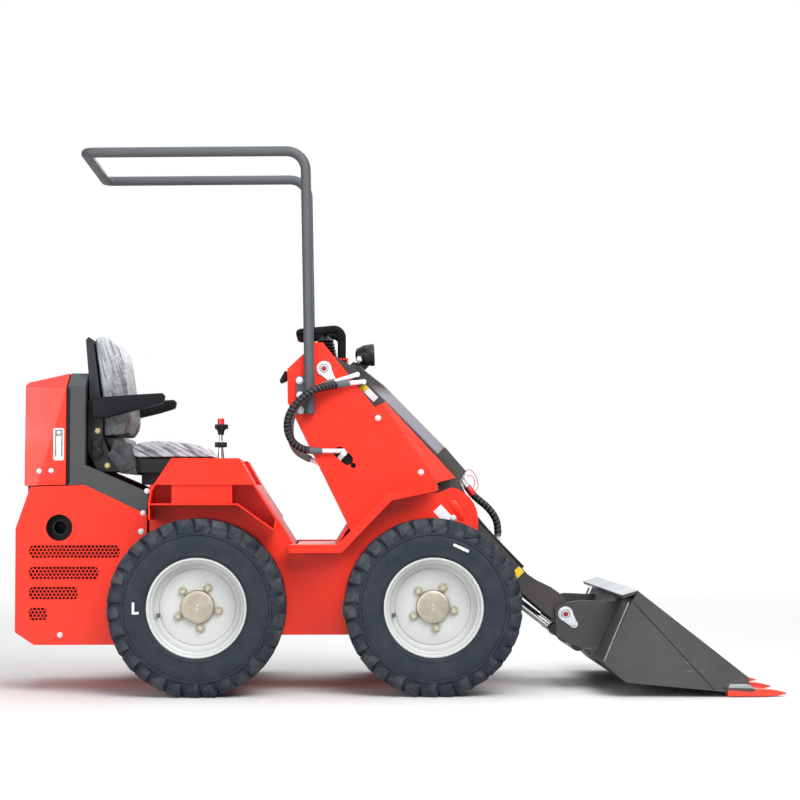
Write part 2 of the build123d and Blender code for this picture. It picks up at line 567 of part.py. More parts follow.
with BuildPart() as arm_cover:
    for wall, mode in ((0, Mode.ADD), (COVER_SHEET, Mode.SUBTRACT)):
        rings = []
        for distance, height, half in COVER_STATIONS:
            with BuildSketch(arm_plane(distance)) as ring:
                with BuildLine():
                    Polyline((wall - ARM_HALF, COVER_LOW + SEAT_GAP - wall), (wall - ARM_HALF, COVER_LOW + 4),
                             (-half, height - wall), (half, height - wall), (ARM_HALF - wall, COVER_LOW + 4),
                             (ARM_HALF - wall, COVER_LOW + SEAT_GAP - wall), close=True)
                make_face()
            rings.append(ring.sketch.faces()[0])
        loft(rings, ruled=True, mode=mode)
    with BuildSketch(arm_plane(COVER_STATIONS[0][0])) as notch:
        with Locations((0, COVER_STATIONS[1][1])):
            Rectangle(2 * NOTCH_HALF, 120)
    extrude(notch.sketch, amount=NOTCH_END - COVER_STATIONS[0][0], mode=Mode.SUBTRACT)
save(arm_cover, "arm_cover")

# Hoses. Routes are points chosen along the real ones: x, distance out from the body's side, z
HOSE_ROUTES = {
    "tower_hose": [(-156, 38, 1029), (-206, 54, 1023), (-262, 94, 1009), (-312, 102, 979), (-350, 92, 936),
                   (-364, 72, 890), (-354, 56, 843), (-322, 40, 812), (-283, 28, 803), (-245, 26, 803)],
    "return_hose": [(-204, 30, 1034), (-242, 34, 1021.5), (-284, 69, 998), (-332, 69, 956), (-350, 54, 906),
                    (-353, 28, 856), (-342, 0, 818), (-318, -20, 790), (-285, -28, 776)],
    "front_hose": [(246, -135, 690), (262, -125, 664), (285, -112, 641), (314, -103, 618), (339, -100, 588),
                   (353, -100, 553), (352, -100, 516)],
}
HOSE_RADIUS = 12
HOSES = {name: [(x, -BODY_HALF - out, z) for x, out, z in route] for name, route in HOSE_ROUTES.items()}
TOWER_HOSE, RETURN_HOSE, FRONT_HOSE = HOSES["tower_hose"], HOSES["return_hose"], HOSES["front_hose"]

# Hose elbows on the right arm and the ends of the front hose
FITTINGS = [(-128, 1059), (-106, 1035)]
ELBOW_Y = BODY_HALF + 22


def hose_end(end, inner_point, length, radius):
    """Straight nipple that a hose's end face stands on."""
    with BuildSketch(Plane(origin=end, z_dir=Vector(end) - Vector(inner_point))) as face:
        Circle(radius)
    extrude(face.sketch, amount=length)


with BuildPart() as arm_fittings:
    for (x, z), hose in zip(FITTINGS, (RETURN_HOSE, TOWER_HOSE)):
        ferrule = Vector(x, -ELBOW_Y, z) - Vector(hose[0])
        round_bar((x, z), 8, ARM_HALF, ELBOW_Y + 9)
        hose_end(hose[0], Vector(hose[0]) - ferrule, ferrule.length, 8)
    hose_end(FRONT_HOSE[0], FRONT_HOSE[1], 30, 9)
    hose_end(FRONT_HOSE[-1], FRONT_HOSE[-2], 58, 9)
    for plate in (TIP_LINE, LOWER_PLATE):
        folded([arm(*p) for p in plate[::-1]], 40, -ARM_INSIDE, ARM_INSIDE, mode=Mode.SUBTRACT)
save(arm_fittings, "arm_fittings")

COUPLER_Y = ARM_HALF - 45
with BuildPart() as front_coupler:
    start = arm(586.5, 84)
    with BuildSketch(Plane(origin=(start[0], -COUPLER_Y, start[1]), z_dir=(25, 0, -32))) as spigot:
        Circle(11)
    extrude(spigot.sketch, amount=36)
save(front_coupler, "front_coupler")

# Round work lamp on the right arm
LAMP = (-102, 1130)
LAMP_Y = ARM_HALF - 28
with BuildPart() as work_lamp:
    with BuildSketch(Plane.YZ.offset(LAMP[0] + 33)) as lens:
        with Locations((-LAMP_Y, LAMP[1])):
            Circle(33)
    extrude(lens.sketch, amount=-66, taper=12)
    foot = [arm(d, cover_height(d) + SEAT_GAP) for d in (58, 92)]
    slab(foot + [(LAMP[0] + 10, LAMP[1] - 20), (LAMP[0] - 16, LAMP[1] - 10)], LAMP_Y - 17, LAMP_Y - 9)
save(work_lamp, "work_lamp")

# Pins with teardrop lock plates: tower pins and bucket pins
def lock_plate(centre, tail, near):
    """Round plate around a pin with a smaller bolted end, and a bolt head on it."""
    with BuildSketch(Plane.XZ.offset(near)) as plate:
        with BuildLine():
            dx, dz = tail[0] - centre[0], tail[1] - centre[1]
            ux, uz = dx / hypot(dx, dz), dz / hypot(dx, dz)
            Polyline((centre[0] - uz * 24, centre[1] + ux * 24), (tail[0] - uz * 12, tail[1] + ux * 12),
                     (tail[0] + uz * 12, tail[1] - ux * 12), (centre[0] + uz * 24, centre[1] - ux * 24),
                     close=True)
        make_face()
        with Locations(centre):
            Circle(25)
        with Locations(tail):
            Circle(13)
    extrude(plate.sketch, amount=5, dir=(0, -1, 0))
    round_bar(tail, 7, near + 5, near + 9)
    round_bar(centre, PIN_RADIUS - 3, near + 5, near + 8)


with BuildPart() as tower_pins:
    round_bar(PIVOT, PIN_RADIUS, ARM_INSIDE - 4, TOWER_OUTER)
    lock_plate(PIVOT, (-215, 1046), TOWER_OUTER)
    mirror(about=Plane.XZ)
save(tower_pins, "tower_pins")

# Lift cylinders
LIFT_MOUTH = 545
with BuildPart() as lift_barrels:
    base = bar_plane(LIFT_BASE, LIFT_EYE, -LIFT_Y)
    with BuildSketch(base.offset(20)) as tube:
        Circle(LIFT_BARREL_RADIUS)
    extrude(tube.sketch, amount=LIFT_MOUTH - 20)
    with BuildSketch(base.offset(60)) as bore:
        Circle(LIFT_ROD_RADIUS + ROD_CLEARANCE)
    extrude(bore.sketch, amount=LIFT_MOUTH - 60, mode=Mode.SUBTRACT)
    round_bar(LIFT_BASE, 30, LIFT_Y - LIFT_EYE_HALF, LIFT_Y + LIFT_EYE_HALF)
    round_bar(LIFT_BASE, PIN_HOLE, LIFT_Y - LIFT_EYE_HALF, LIFT_Y + LIFT_EYE_HALF, mode=Mode.SUBTRACT)
    mirror(about=Plane.XZ)
save(lift_barrels, "lift_barrels")

with BuildPart() as lift_rods:
    with BuildSketch(bar_plane(LIFT_BASE, LIFT_EYE, -LIFT_Y).offset(105)) as rod:
        Circle(LIFT_ROD_RADIUS)
    extrude(rod.sketch, amount=LIFT_LENGTH - 105)
    round_bar(LIFT_EYE, 28, LIFT_Y - LIFT_EYE_HALF + 4, LIFT_Y + LIFT_EYE_HALF - 4)
    round_bar(LIFT_EYE, PIN_RADIUS, LIFT_Y - LIFT_EYE_HALF, LIFT_Y + LIFT_EYE_HALF, mode=Mode.SUBTRACT)
    mirror(about=Plane.XZ)
save(lift_rods, "lift_rods")

# Tilt cylinder in the middle
TILT_MOUTH = 350
TILT_EYE_HALF = 32
with BuildPart() as tilt_barrel:
    base = bar_plane(TILT_BASE, TILT_EYE, 0)
    with BuildSketch(base.offset(16)) as tube:
        Circle(TILT_BARREL_RADIUS)
    extrude(tube.sketch, amount=TILT_MOUTH - 16)
    with BuildSketch(base.offset(34)) as bore:
        Circle(TILT_ROD_RADIUS + ROD_CLEARANCE)
    extrude(bore.sketch, amount=TILT_MOUTH - 34, mode=Mode.SUBTRACT)
    round_bar(TILT_BASE, 28, -TILT_EYE_HALF, TILT_EYE_HALF)
    round_bar(TILT_BASE, PIN_HOLE, -TILT_EYE_HALF, TILT_EYE_HALF, mode=Mode.SUBTRACT)
save(tilt_barrel, "tilt_barrel")

with BuildPart() as tilt_rod:
    with BuildSketch(bar_plane(TILT_BASE, TILT_EYE, 0).offset(116)) as rod:
        Circle(TILT_ROD_RADIUS)
    extrude(rod.sketch, amount=TILT_LENGTH - 116)
    round_bar(TILT_EYE, 25, -16, 16)
    round_bar(TILT_EYE, PIN_RADIUS, -16, 16, mode=Mode.SUBTRACT)
save(tilt_rod, "tilt_rod")

# Bucket carrier: side ears, front plate, lower tube and tilt ears
def bucket_back(distance, side=0.0):
    """Point along the bucket's back from its heel, and a distance behind it."""
    return along(BUCKET_HEEL, BUCKET_TOP, distance, side)


CARRIER_THICK = 14
CARRIER_LINE = [(539, 275), (565, 291), (630, 301), (694, 298), bucket_back(196, CARRIER_THICK),
                bucket_back(8, CARRIER_THICK), (581, 159), (546, 182)]
with BuildPart() as bucket_carrier:
    slab(CARRIER_LINE, CARRIER_HALF - ARM_SHEET, CARRIER_HALF)
    round_bar(BUCKET_PIN, PIN_RADIUS, CARRIER_HALF - ARM_SHEET, CARRIER_HALF, mode=Mode.SUBTRACT)
    # ears of the tilt rod's pin
    slab([(550, 178), (553, 204), (580, 206), bucket_back(80, CARRIER_THICK), bucket_back(10, CARRIER_THICK),
          (600, 140)], 24, 34)
    round_bar(TILT_EYE, 18, 34, 40)
    mirror(about=Plane.XZ)
    slab([bucket_back(2, SEAT_GAP), bucket_back(222, SEAT_GAP), bucket_back(222, CARRIER_THICK),
          bucket_back(2, CARRIER_THICK)], -CARRIER_HALF, CARRIER_HALF)
    round_bar((620, 150), 22, 34 - CARRIER_HALF, CARRIER_HALF - 34)
save(bucket_carrier, "bucket_carrier")

with BuildPart() as bucket_pins:
    round_bar(BUCKET_PIN, PIN_RADIUS, ARM_INSIDE - 4, CARRIER_HALF)
    lock_plate(BUCKET_PIN, (603, 221), CARRIER_HALF)
    mirror(about=Plane.XZ)
save(bucket_pins, "bucket_pins")

# Bucket: folded shell with a rolled top edge, side plates, cutting edge and teeth
FLOOR_FRONT = (1068, 17)
BUCKET_WRAP = [(783, 344), BUCKET_TOP, BUCKET_HEEL, (743, 48), (1034, 20), FLOOR_FRONT]
SIDE_LINE = [BUCKET_TOP, BUCKET_HEEL, (743, 48), (1034, 20), (1060, 18), (1060, 36.3), (1078, 36.3),
             (1119, 52.3), (1143, 49), (1143, 63), (783, 344)]
with BuildPart() as bucket_shell:
    folded(BUCKET_WRAP, BUCKET_SHEET, -BUCKET_HALF, BUCKET_HALF)
    slab(SIDE_LINE, BUCKET_HALF - BUCKET_SHEET, BUCKET_HALF)
    slab(SIDE_LINE, -BUCKET_HALF, BUCKET_SHEET - BUCKET_HALF)
    # lip bent back over the carrier
    slab([(784, 345), (729, 329), (732, 321.5), (768, 332)], -BUCKET_HALF, BUCKET_HALF)
save(bucket_shell, "bucket_shell")

EDGE_TOP = [(1069, 35), (1162, 12)]
with BuildPart() as cutting_edge:
    slab([(1069, 17), (1162, 2), EDGE_TOP[1], EDGE_TOP[0]], -BUCKET_HALF, BUCKET_HALF)
save(cutting_edge, "cutting_edge")

tooth_line = [along(*EDGE_TOP, 12, SEAT_GAP), along(*EDGE_TOP, 97, SEAT_GAP), (1164, 3), (1202, 3),
              (TOOTH_TIP_X, 12), (TOOTH_TIP_X, 17), (1190, 40), (1120, 50)]
with BuildPart() as tooth:
    slab(tooth_line, -TOOTH_WIDTH / 2, TOOTH_WIDTH / 2)
    with BuildSketch() as plan:
        with BuildLine():
            Polyline((1060, -TOOTH_WIDTH / 2), (1190, -TOOTH_WIDTH / 2), (TOOTH_TIP_X, -9), (TOOTH_TIP_X, 9),
                     (1190, TOOTH_WIDTH / 2), (1060, TOOTH_WIDTH / 2), close=True)
        make_face()
    extrude(plan.sketch, amount=100, mode=Mode.INTERSECT)
with BuildPart() as bucket_teeth:
    for index in range(-2, 3):
        with Locations((0, index * TOOTH_SPACING, 0)):
            add(tooth.part)
save(bucket_teeth, "bucket_teeth")

# Hose tubes
def cord_tube(points, radius):
    """Tube along straight runs joined by arcs as large as the runs allow."""
    radii = []
    for before, corner, after in zip(points, points[1:], points[2:]):
        run_in, run_out = Vector(corner) - Vector(before), Vector(after) - Vector(corner)
        turn = radians(run_in.get_angle(run_out))
        radii.append(0.45 * min(run_in.length, run_out.length) / tan(turn / 2))
    bent_bar(points, radii, radius)


for name, route in HOSES.items():
    with BuildPart() as hose:
        cord_tube(route, HOSE_RADIUS)
    save(hose, name)

# Elbow in the tower's hose hole, held by a strip behind the plate, and the fitting in the tower's rear wall
HOSE_HOLE_MIDDLE = (-172, 795)
with BuildPart() as tower_fitting:
    hose_end(TOWER_HOSE[-1], TOWER_HOSE[-2], 76, 8)
    round_bar(HOSE_HOLE_MIDDLE, 9, BODY_HALF - 8, ELBOW_Y + 10)
    with BuildSketch(Plane.XZ.offset(BODY_HALF - 8)) as strip:
        with Locations(Location((*HOSE_HOLE_MIDDLE, 0), (0, 0, 48))):
            Rectangle(70, 16)
    extrude(strip.sketch, amount=8 - SEAT_GAP, dir=(0, -1, 0))
    hose_end(RETURN_HOSE[-1], RETURN_HOSE[-2], 50, 8)
    folded(TOWER_WALL[2:4], 60, -BODY_HALF, BODY_HALF - 12, mode=Mode.SUBTRACT)
save(tower_fitting, "tower_fitting")
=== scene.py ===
"""Finishes and fine pieces of a ride-on skid steer loader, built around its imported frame."""
import math
from contextlib import contextmanager

import bmesh
import bpy
from bpy.props import FloatProperty, FloatVectorProperty, IntProperty, PointerProperty
from mathutils import Matrix, Vector, noise


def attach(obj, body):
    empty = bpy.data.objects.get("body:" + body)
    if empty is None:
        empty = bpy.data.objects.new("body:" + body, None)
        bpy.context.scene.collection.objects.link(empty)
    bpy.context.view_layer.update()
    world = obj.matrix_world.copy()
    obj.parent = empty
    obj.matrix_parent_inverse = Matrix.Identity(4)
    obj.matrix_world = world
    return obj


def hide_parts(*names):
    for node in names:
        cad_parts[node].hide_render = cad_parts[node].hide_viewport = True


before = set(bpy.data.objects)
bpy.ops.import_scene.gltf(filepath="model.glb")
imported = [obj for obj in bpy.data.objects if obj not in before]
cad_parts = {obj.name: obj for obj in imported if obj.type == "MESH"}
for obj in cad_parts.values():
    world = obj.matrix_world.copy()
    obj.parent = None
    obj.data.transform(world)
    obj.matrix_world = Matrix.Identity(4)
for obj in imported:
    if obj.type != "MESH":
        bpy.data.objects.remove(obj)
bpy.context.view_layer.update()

bl_info = {
    "name": "Skid steer loader finishes",
    "version": (1, 0, 0),
    "blender": (4, 5, 0),
    "location": "View3D > Sidebar > Loader",
    "description": "Paints, rubber, seat, hoses and small parts of a compact skid steer loader",
    "category": "Object",
}

MM = 0.001
# Places shared with the frame, in millimetres
WHEELS = {"front": 119, "rear": -651}
AXLE_Z = 290
TYRE_MIDDLE = 422
BODY_SIDE = 300
ARM_SIDE = 250
BUCKET_SIDE = 540
PIVOT = (-239.5, 1080)
BUCKET_PIN = (575, 255.5)
SIDES = ((-1, "right"), (1, "left"))
UP = (0, 0, 1)
# Camera of the photograph: place in metres, the way it looks, lens and sensor in millimetres
CAMERA_PLACE = (-0.209, -7.5, 0.666)
CAMERA_AIM = (67, 2145, 92)
CAMERA_LENS, CAMERA_SENSOR = 96.5, 36.0


def linear(colour):
    """A colour as linear red, green, blue and alpha, from sRGB hex or as it stands in a property."""
    if not isinstance(colour, str):
        return list(colour)
    channels = [int(colour[i:i + 2], 16) / 255 for i in (1, 3, 5)]
    return [c / 12.92 if c <= 0.04045 else ((c + 0.055) / 1.055) ** 2.4 for c in channels] + [1.0]


def shade(colour, share):
    """A colour made darker."""
    return [c * share for c in linear(colour)[:3]] + [1.0]


def colour_property(name, hex_colour, description):
    return FloatVectorProperty(name=name, description=description, default=linear(hex_colour),
                               subtype="COLOR", size=4, min=0.0, max=1.0)


def length_property(name, millimetres, description):
    return FloatProperty(name=name, description=description, default=millimetres * MM,
                         unit="LENGTH", subtype="DISTANCE", min=0.0)


class LoaderPaints(bpy.types.PropertyGroup):
    """Colours of the loader's paints and soft parts."""
    body: colour_property("Body", "#F02A0E", "Red powder coat of the body")
    arms: colour_property("Arms", "#3C3836", "Dark paint of the lift arms")
    facet: colour_property("Arm cover", "#8A868E", "Lighter paint on the arms' cover")
    bucket: colour_property("Bucket", "#3A3A3A", "Dark paint of the bucket")
    guard: colour_property("Guard", "#3E4040", "Dark paint of the guard frame")
    rims: colour_property("Rims", "#C6C8C6", "Pale paint of the rims")
    tyres: colour_property("Tyres", "#18212D", "Tyre rubber")
    seat: colour_property("Seat", "#4B4D50", "Vinyl under the seat's film")


class LoaderSizes(bpy.types.PropertyGroup):
    """Sizes of the loader's small parts."""
    lug_count: IntProperty(name="Lugs", description="Long lugs on each half of a tyre", default=15, min=6)
    hole_pitch: length_property("Hole pitch", 12.8, "Distance between holes in the vent plates")
    hole_across: length_property("Hole", 9.4, "Width of a hole in the vent plates")
    bolt_across: length_property("Bolt", 11.5, "Width of a bolt's head")
    wrap_pitch: length_property("Wrap pitch", 14, "Distance between the turns of the hoses' wrap")
    seat_crown: length_property("Seat crown", 14, "How far the cushions may swell")


def sizes():
    return bpy.context.scene.loader_sizes


# ---- materials

def node(tree, kind, inputs=(), **settings):
    """Add a shader node; inputs are pairs of socket and a value, hex colour or another node's output."""
    made = tree.nodes.new("ShaderNode" + kind)
    for name, value in settings.items():
        setattr(made, name, value)
    for socket, value in inputs:
        if isinstance(value, bpy.types.NodeSocket):
            tree.links.new(value, made.inputs[socket])
        else:
            made.inputs[socket].default_value = linear(value) if isinstance(value, str) else value
    return made


class Finish:
    """A new material: its Principled shader and the patterns that drive it, lengths in metres."""

    def __init__(self, name, roughness, metallic=0.0, ior=None, coat=0.0, coat_roughness=0.1):
        self.material = bpy.data.materials.new(name)
        self.material.use_nodes = True
        self.tree = self.material.node_tree
        self.shader = self.tree.nodes["Principled BSDF"]
        for socket, value in (("Roughness", roughness), ("Metallic", metallic), ("IOR", ior),
                              ("Coat Weight", coat), ("Coat Roughness", coat_roughness)):
            if value is not None:
                self.shader.inputs[socket].default_value = value
        self.place = node(self.tree, "TexCoord").outputs["Object"]

    def drive(self, socket, pattern):
        self.tree.links.new(pattern, self.shader.inputs[socket])

    def paint(self, colour):
        self.drive("Base Color", colour)

    def noise(self, scale, detail, place=None, **more):
        inputs = {"Vector": place or self.place, "Scale": scale, "Detail": detail, **more}
        return node(self.tree, "TexNoise", inputs.items()).outputs["Fac"]

    def ramp(self, value, low, high, start=0.0, end=1.0):
        """Value between low and high spread from start to end."""
        return node(self.tree, "MapRange", [("Value", value), ("From Min", low), ("From Max", high),
                                            ("To Min", start), ("To Max", end)]).outputs[0]

    def blend(self, share, first, second):
        """Mix of two colours; the Mix node's colour sockets are 6, 7 and its result 2."""
        return node(self.tree, "Mix", [(0, share), (6, first), (7, second)], data_type="RGBA").outputs[2]

    def times(self, first, second):
        return node(self.tree, "Math", [(0, first), (1, second)], operation="MULTIPLY").outputs[0]

    def height(self):
        return node(self.tree, "SeparateXYZ", [(0, self.place)]).outputs["Z"]

    def turned(self, rotation, scale=(1.0, 1.0, 1.0), kind="POINT"):
        """The place turned and scaled."""
        return node(self.tree, "Mapping", [("Vector", self.place), ("Rotation", rotation), ("Scale", scale)],
                    vector_type=kind).outputs[0]

    def bump(self, height, distance, strength):
        """Relief of the surface."""
        made = node(self.tree, "Bump", [("Height", height), ("Distance", distance), ("Strength", strength)])
        self.drive("Normal", made.outputs["Normal"])

    def mottle(self, first, second, grain, low=0.35, high=0.65, detail=4.0):
        """Colour that drifts between two tones over patches of the given size."""
        return self.blend(self.ramp(self.noise(1 / grain, detail), low, high), first, second)

    def skin(self, grain, height, strength, rough):
        """Fine relief in patches of a size and height, and broad patches of two roughnesses."""
        self.bump(self.noise(1 / grain, 3.0), height, strength)
        self.drive("Roughness", self.ramp(self.noise(9.0, 5.0), 0.3, 0.7, *rough))

    def dust(self, colour, dust_colour, top, most):
        """Road dust that thins out with height over the ground, up to top."""
        fade = self.ramp(self.height(), 0.02, top, most, 0.0)
        return self.blend(self.times(fade, self.noise(14.0, 8.0, Roughness=0.65)), colour, dust_colour)


def powder_coat(name, colour, roughness=(0.3, 0.42), coat=0.1):
    """Baked powder coat on sheet steel: even and glossy, with a faint orange peel and some dust low down."""
    finish = Finish(name, roughness[0], ior=1.42, coat=coat)
    finish.paint(finish.dust(finish.mottle(colour, shade(colour, 0.86), 0.35), "#9A8D80", 0.4, 0.07))
    # orange peel is 1-2 mm across; drawn at 5 mm so that it shows
    finish.skin(0.005, 0.00006, 0.35, roughness)


def cover_paint(name, colour, end_colour):
    """Satin paint of the arms' cover, pale on its facet and darker towards its upper end, where it takes the
    arms' colour.
    """
    finish = Finish(name, 0.4, ior=1.42)
    upper = finish.ramp(finish.height(), 0.99, 1.03)
    finish.paint(finish.blend(upper, finish.mottle(colour, shade(colour, 0.88), 0.2), end_colour))
    finish.skin(0.005, 0.00006, 0.35, (0.35, 0.5))


def worn_paint(name, colour, scuff, roughness=(0.38, 0.55)):
    """Sprayed paint on thick plate that touches soil: dull, scuffed in short streaks, dusty."""
    finish = Finish(name, roughness[0], ior=1.5)
    tone = finish.mottle(colour, shade(colour, 0.78), 0.12)
    streaks = finish.noise(1.0, 6.0, finish.turned((0.0, 0.7, 0.0), (9.0, 60.0, 60.0)), Roughness=0.7)
    scuffed = finish.blend(finish.ramp(streaks, 0.64, 0.76, 0.0, 0.5), tone, scuff)
    finish.paint(finish.dust(scuffed, "#8C8279", 0.4, 0.12))
    finish.skin(0.006, 0.0001, 0.4, roughness)


def tyre_rubber(name, colour, dusting):
    """Vulcanised tyre rubber: bluish black and dull, with dry dust held in its grain."""
    finish = Finish(name, 0.6, ior=1.36)
    tone = finish.mottle(colour, "#232931", 0.05, 0.4, 0.7, 8.0)
    grime = finish.ramp(finish.noise(22.0, 10.0, Roughness=0.7), 0.42, 0.72, 0.0, dusting)
    finish.paint(finish.blend(grime, tone, "#807C74"))
    finish.skin(0.0015, 0.00012, 0.5, (0.48, 0.72))


def plated(name, colour, tint, roughness, grain=0.012, metallic=1.0):
    """Plated steel: metal shine broken by faint patches where the plating grew."""
    finish = Finish(name, roughness, metallic)
    finish.paint(finish.mottle(colour, tint, grain))
    finish.skin(0.002, 0.00003, 0.4, (roughness * 0.8, roughness * 1.3))


def hard_chrome(name):
    """Ground and hard-chromed rod: mirror bright, with hair-fine marks of the wiper."""
    finish = Finish(name, 0.09, 1.0)
    finish.paint(finish.mottle("#DDE0E2", "#C9CDD1", 0.05))
    finish.skin(0.0008, 0.000008, 0.3, (0.06, 0.14))


def moulded(name, colour, roughness, grain=0.0012, relief=0.00008, coat=0.0, ior=1.4):
    """Injection-moulded plastic or rubber with a fine eroded texture."""
    finish = Finish(name, roughness, ior=ior, coat=coat)
    finish.paint(finish.mottle(colour, shade(colour, 0.8), 0.03))
    finish.skin(grain, relief, 0.5, (roughness * 0.85, min(1.0, roughness * 1.15)))


def open_foam(name, colour):
    """Closed-cell foam sleeve: matt, with pores about a millimetre across, drawn at 2.5 mm."""
    finish = Finish(name, 0.85, ior=1.25)
    cells = node(finish.tree, "TexVoronoi", [("Vector", finish.place), ("Scale", 400.0)])
    finish.bump(cells.outputs["Distance"], 0.0006, 0.6)
    finish.paint(finish.mottle(colour, "#18191B", 0.02))


def vinyl_with_painted_film_reflection(name, colour, turn, clear, reflection_heights):
    """Grained dark vinyl under loose packing film, with the film's reflection painted in as pale streaks
    along creases in a turned direction.
    """
    finish = Finish(name, 0.5, ior=1.45, coat=0.35, coat_roughness=0.3)
    along = finish.turned((0.0, turn, 0.2), (0.11, 0.1, 0.009), "TEXTURE")
    creases = finish.noise(1.0, 4.0, along, Distortion=0.7)
    # painted reflection of the film: pale where the creases rise, never below the share clear between them,
    # in broad patches
    crease_reflection = finish.ramp(creases, 0.4, 0.58, clear, 1.0)
    reflection_patches = finish.ramp(finish.noise(9.0, 2.0), 0.35, 0.65, 0.7, 1.0)
    # the painted reflection fades out between two heights, so that lower down the vinyl shows darker
    reflection_fade = finish.ramp(finish.height(), *reflection_heights, 0.1, 1.0)
    finish.paint(finish.blend(finish.times(finish.times(crease_reflection, reflection_patches), reflection_fade), colour, "#B7BABF"))
    finish.bump(creases, 0.001, 0.5)


def belt_weave(name, colour):
    """Polyester seat belt: shallow ribs along the belt, 2 mm apart, with a soft sheen."""
    finish = Finish(name, 0.55, ior=1.5)
    finish.paint(finish.mottle(colour, "#111013", 0.02))
    along = finish.turned((0.0, 0.6, 0.0))
    ribs = node(finish.tree, "TexWave", [("Vector", along), ("Scale", 160.0)], bands_direction="X")
    finish.bump(ribs.outputs["Fac"], 0.0004, 0.5)
    finish.shader.inputs["Sheen Weight"].default_value = 0.3


def tread_plate(name, colour):
    """Painted floor plate with raised bars 30 mm apart, worn pale on their tops."""
    finish = Finish(name, 0.4, ior=1.5)
    checks = finish.turned((0.0, 0.0, 0.785), (33.0, 33.0, 33.0))
    bars = node(finish.tree, "TexVoronoi", [("Vector", checks), ("Scale", 1.0), ("Randomness", 0.0)],
                distance="MANHATTAN")
    raised = finish.ramp(bars.outputs["Distance"], 0.25, 0.4, 1.0, 0.0)
    finish.paint(finish.blend(raised, finish.mottle(colour, shade(colour, 0.8), 0.2), "#E08A74"))
    finish.bump(raised, 0.0015, 0.7)


def clear_lens(name):
    """Pressed lamp glass over a bright reflector, told by its ribs and a hard coat."""
    finish = Finish(name, 0.12, 0.6, coat=1.0, coat_roughness=0.03)
    ribs = node(finish.tree, "TexWave", [("Vector", finish.place), ("Scale", 60.0)], bands_direction="Y")
    finish.bump(ribs.outputs["Fac"], 0.0012, 0.6)
    finish.paint(finish.mottle("#C9CDD2", "#8E949A", 0.01))


def make_materials():
    """All finishes of the loader, each named for the real one or for the painted light it carries."""
    p = bpy.context.scene.loader_paints
    body, arms, seat = list(p.body), list(p.arms), list(p.seat)
    powder_coat("red_powder_coat", body)
    # the body's red darkened: painted shade inside the body, seen through the vent holes
    powder_coat("dark_red_painted_shade", "#7A1408", (0.6, 0.8), 0.0)
    powder_coat("guard_powder_coat", list(p.guard), (0.42, 0.55), 0.0)
    cover_paint("facet_paint", list(p.facet), arms)
    powder_coat("rim_enamel", list(p.rims), (0.3, 0.5), 0.1)
    # black enamel, also used for a strip that is painted shade in a fold
    powder_coat("black_enamel_and_painted_shade", "#0C0D0F", (0.35, 0.5), 0.0)
    powder_coat("hoop_powder_coat", "#4E5154", (0.4, 0.55), 0.0)
    worn_paint("arm_paint", arms, "#8B8784")
    worn_paint("bucket_paint", list(p.bucket), "#8E8C8A")
    worn_paint("tooth_paint", "#EE3A22", "#A8938A")
    # pale plate grey of the wear bars, also a painted highlight on the bucket's top lip
    worn_paint("worn_plate_and_painted_highlight", "#9DA0A3", "#B0B2B3")
    worn_paint("cast_iron_paint", "#4A4C4E", "#77797B")
    tyre_rubber("tyre_sidewall_rubber", list(p.tyres), 0.06)
    tyre_rubber("tyre_tread_rubber", list(p.tyres), 0.22)
    # bright zinc is milky, so part of it is drawn as a pale matt skin
    plated("zinc_plate", "#E4E5E7", "#D2D5D8", 0.42, 0.03, 0.35)
    # zinc made paler and less metallic: painted highlight on the coupler's sleeve
    plated("pale_zinc_painted_bright", "#F0F1F2", "#E2E4E6", 0.5, 0.03, 0.15)
    plated("wheel_nut_plate", "#BDB9AA", "#A39F90", 0.45, 0.01, 0.5)
    plated("yellow_zinc_plate", "#D2C48C", "#B3A982", 0.38)
    plated("stud_plate", "#C9C3A8", "#AFA88E", 0.45, 0.01, 0.6)
    plated("nickel_hub_plate", "#B7AF9F", "#A89F90", 0.5, 0.03)
    # bare steel, also used for flat dark rings that are painted shade in grooves
    plated("bare_steel_and_painted_groove_shade", "#A5A19D", "#7C7875", 0.5, 0.006)
    hard_chrome("hard_chrome_rod")
    moulded("black_moulded_plastic", "#0B0C0E", 0.42)
    moulded("armrest_skin", "#101216", 0.5, 0.0016, 0.00012, ior=1.25)
    moulded("shell_skin", "#20252A", 0.5)
    # black rubber, also used for black sheets that are painted shade in gaps and holes
    moulded("black_rubber_and_painted_shade", "#0A0B0C", 0.45, ior=1.3)
    moulded("hose_rubber", "#0B0C0E", 0.55, ior=1.25)
    moulded("wrap_plastic", "#0D0E11", 0.35, coat=0.1)
    moulded("red_plastic", "#D9252B", 0.38, coat=0.2)
    moulded("red_grease_cap", "#A82A24", 0.45)
    moulded("red_wire_skin", "#C2385C", 0.4, coat=0.2)
    moulded("white_label_film", "#E9E7EE", 0.35)
    moulded("yellow_label_film", "#F2D22E", 0.35)
    moulded("white_paint_mark", "#E6E6E2", 0.7)
    open_foam("grip_foam", "#0B0B0D")
    # the pale film streaks on both cushions are painted reflection
    vinyl_with_painted_film_reflection("seat_vinyl_painted_film_reflection", seat, 0.5, 0.08, (0.6, 0.7))
    vinyl_with_painted_film_reflection("back_vinyl_painted_film_reflection", seat, 1.3, 0.3, (0.88, 1.14))
    belt_weave("belt_webbing", "#34333A")
    tread_plate("floor_tread_plate", body)
    clear_lens("lamp_lens")


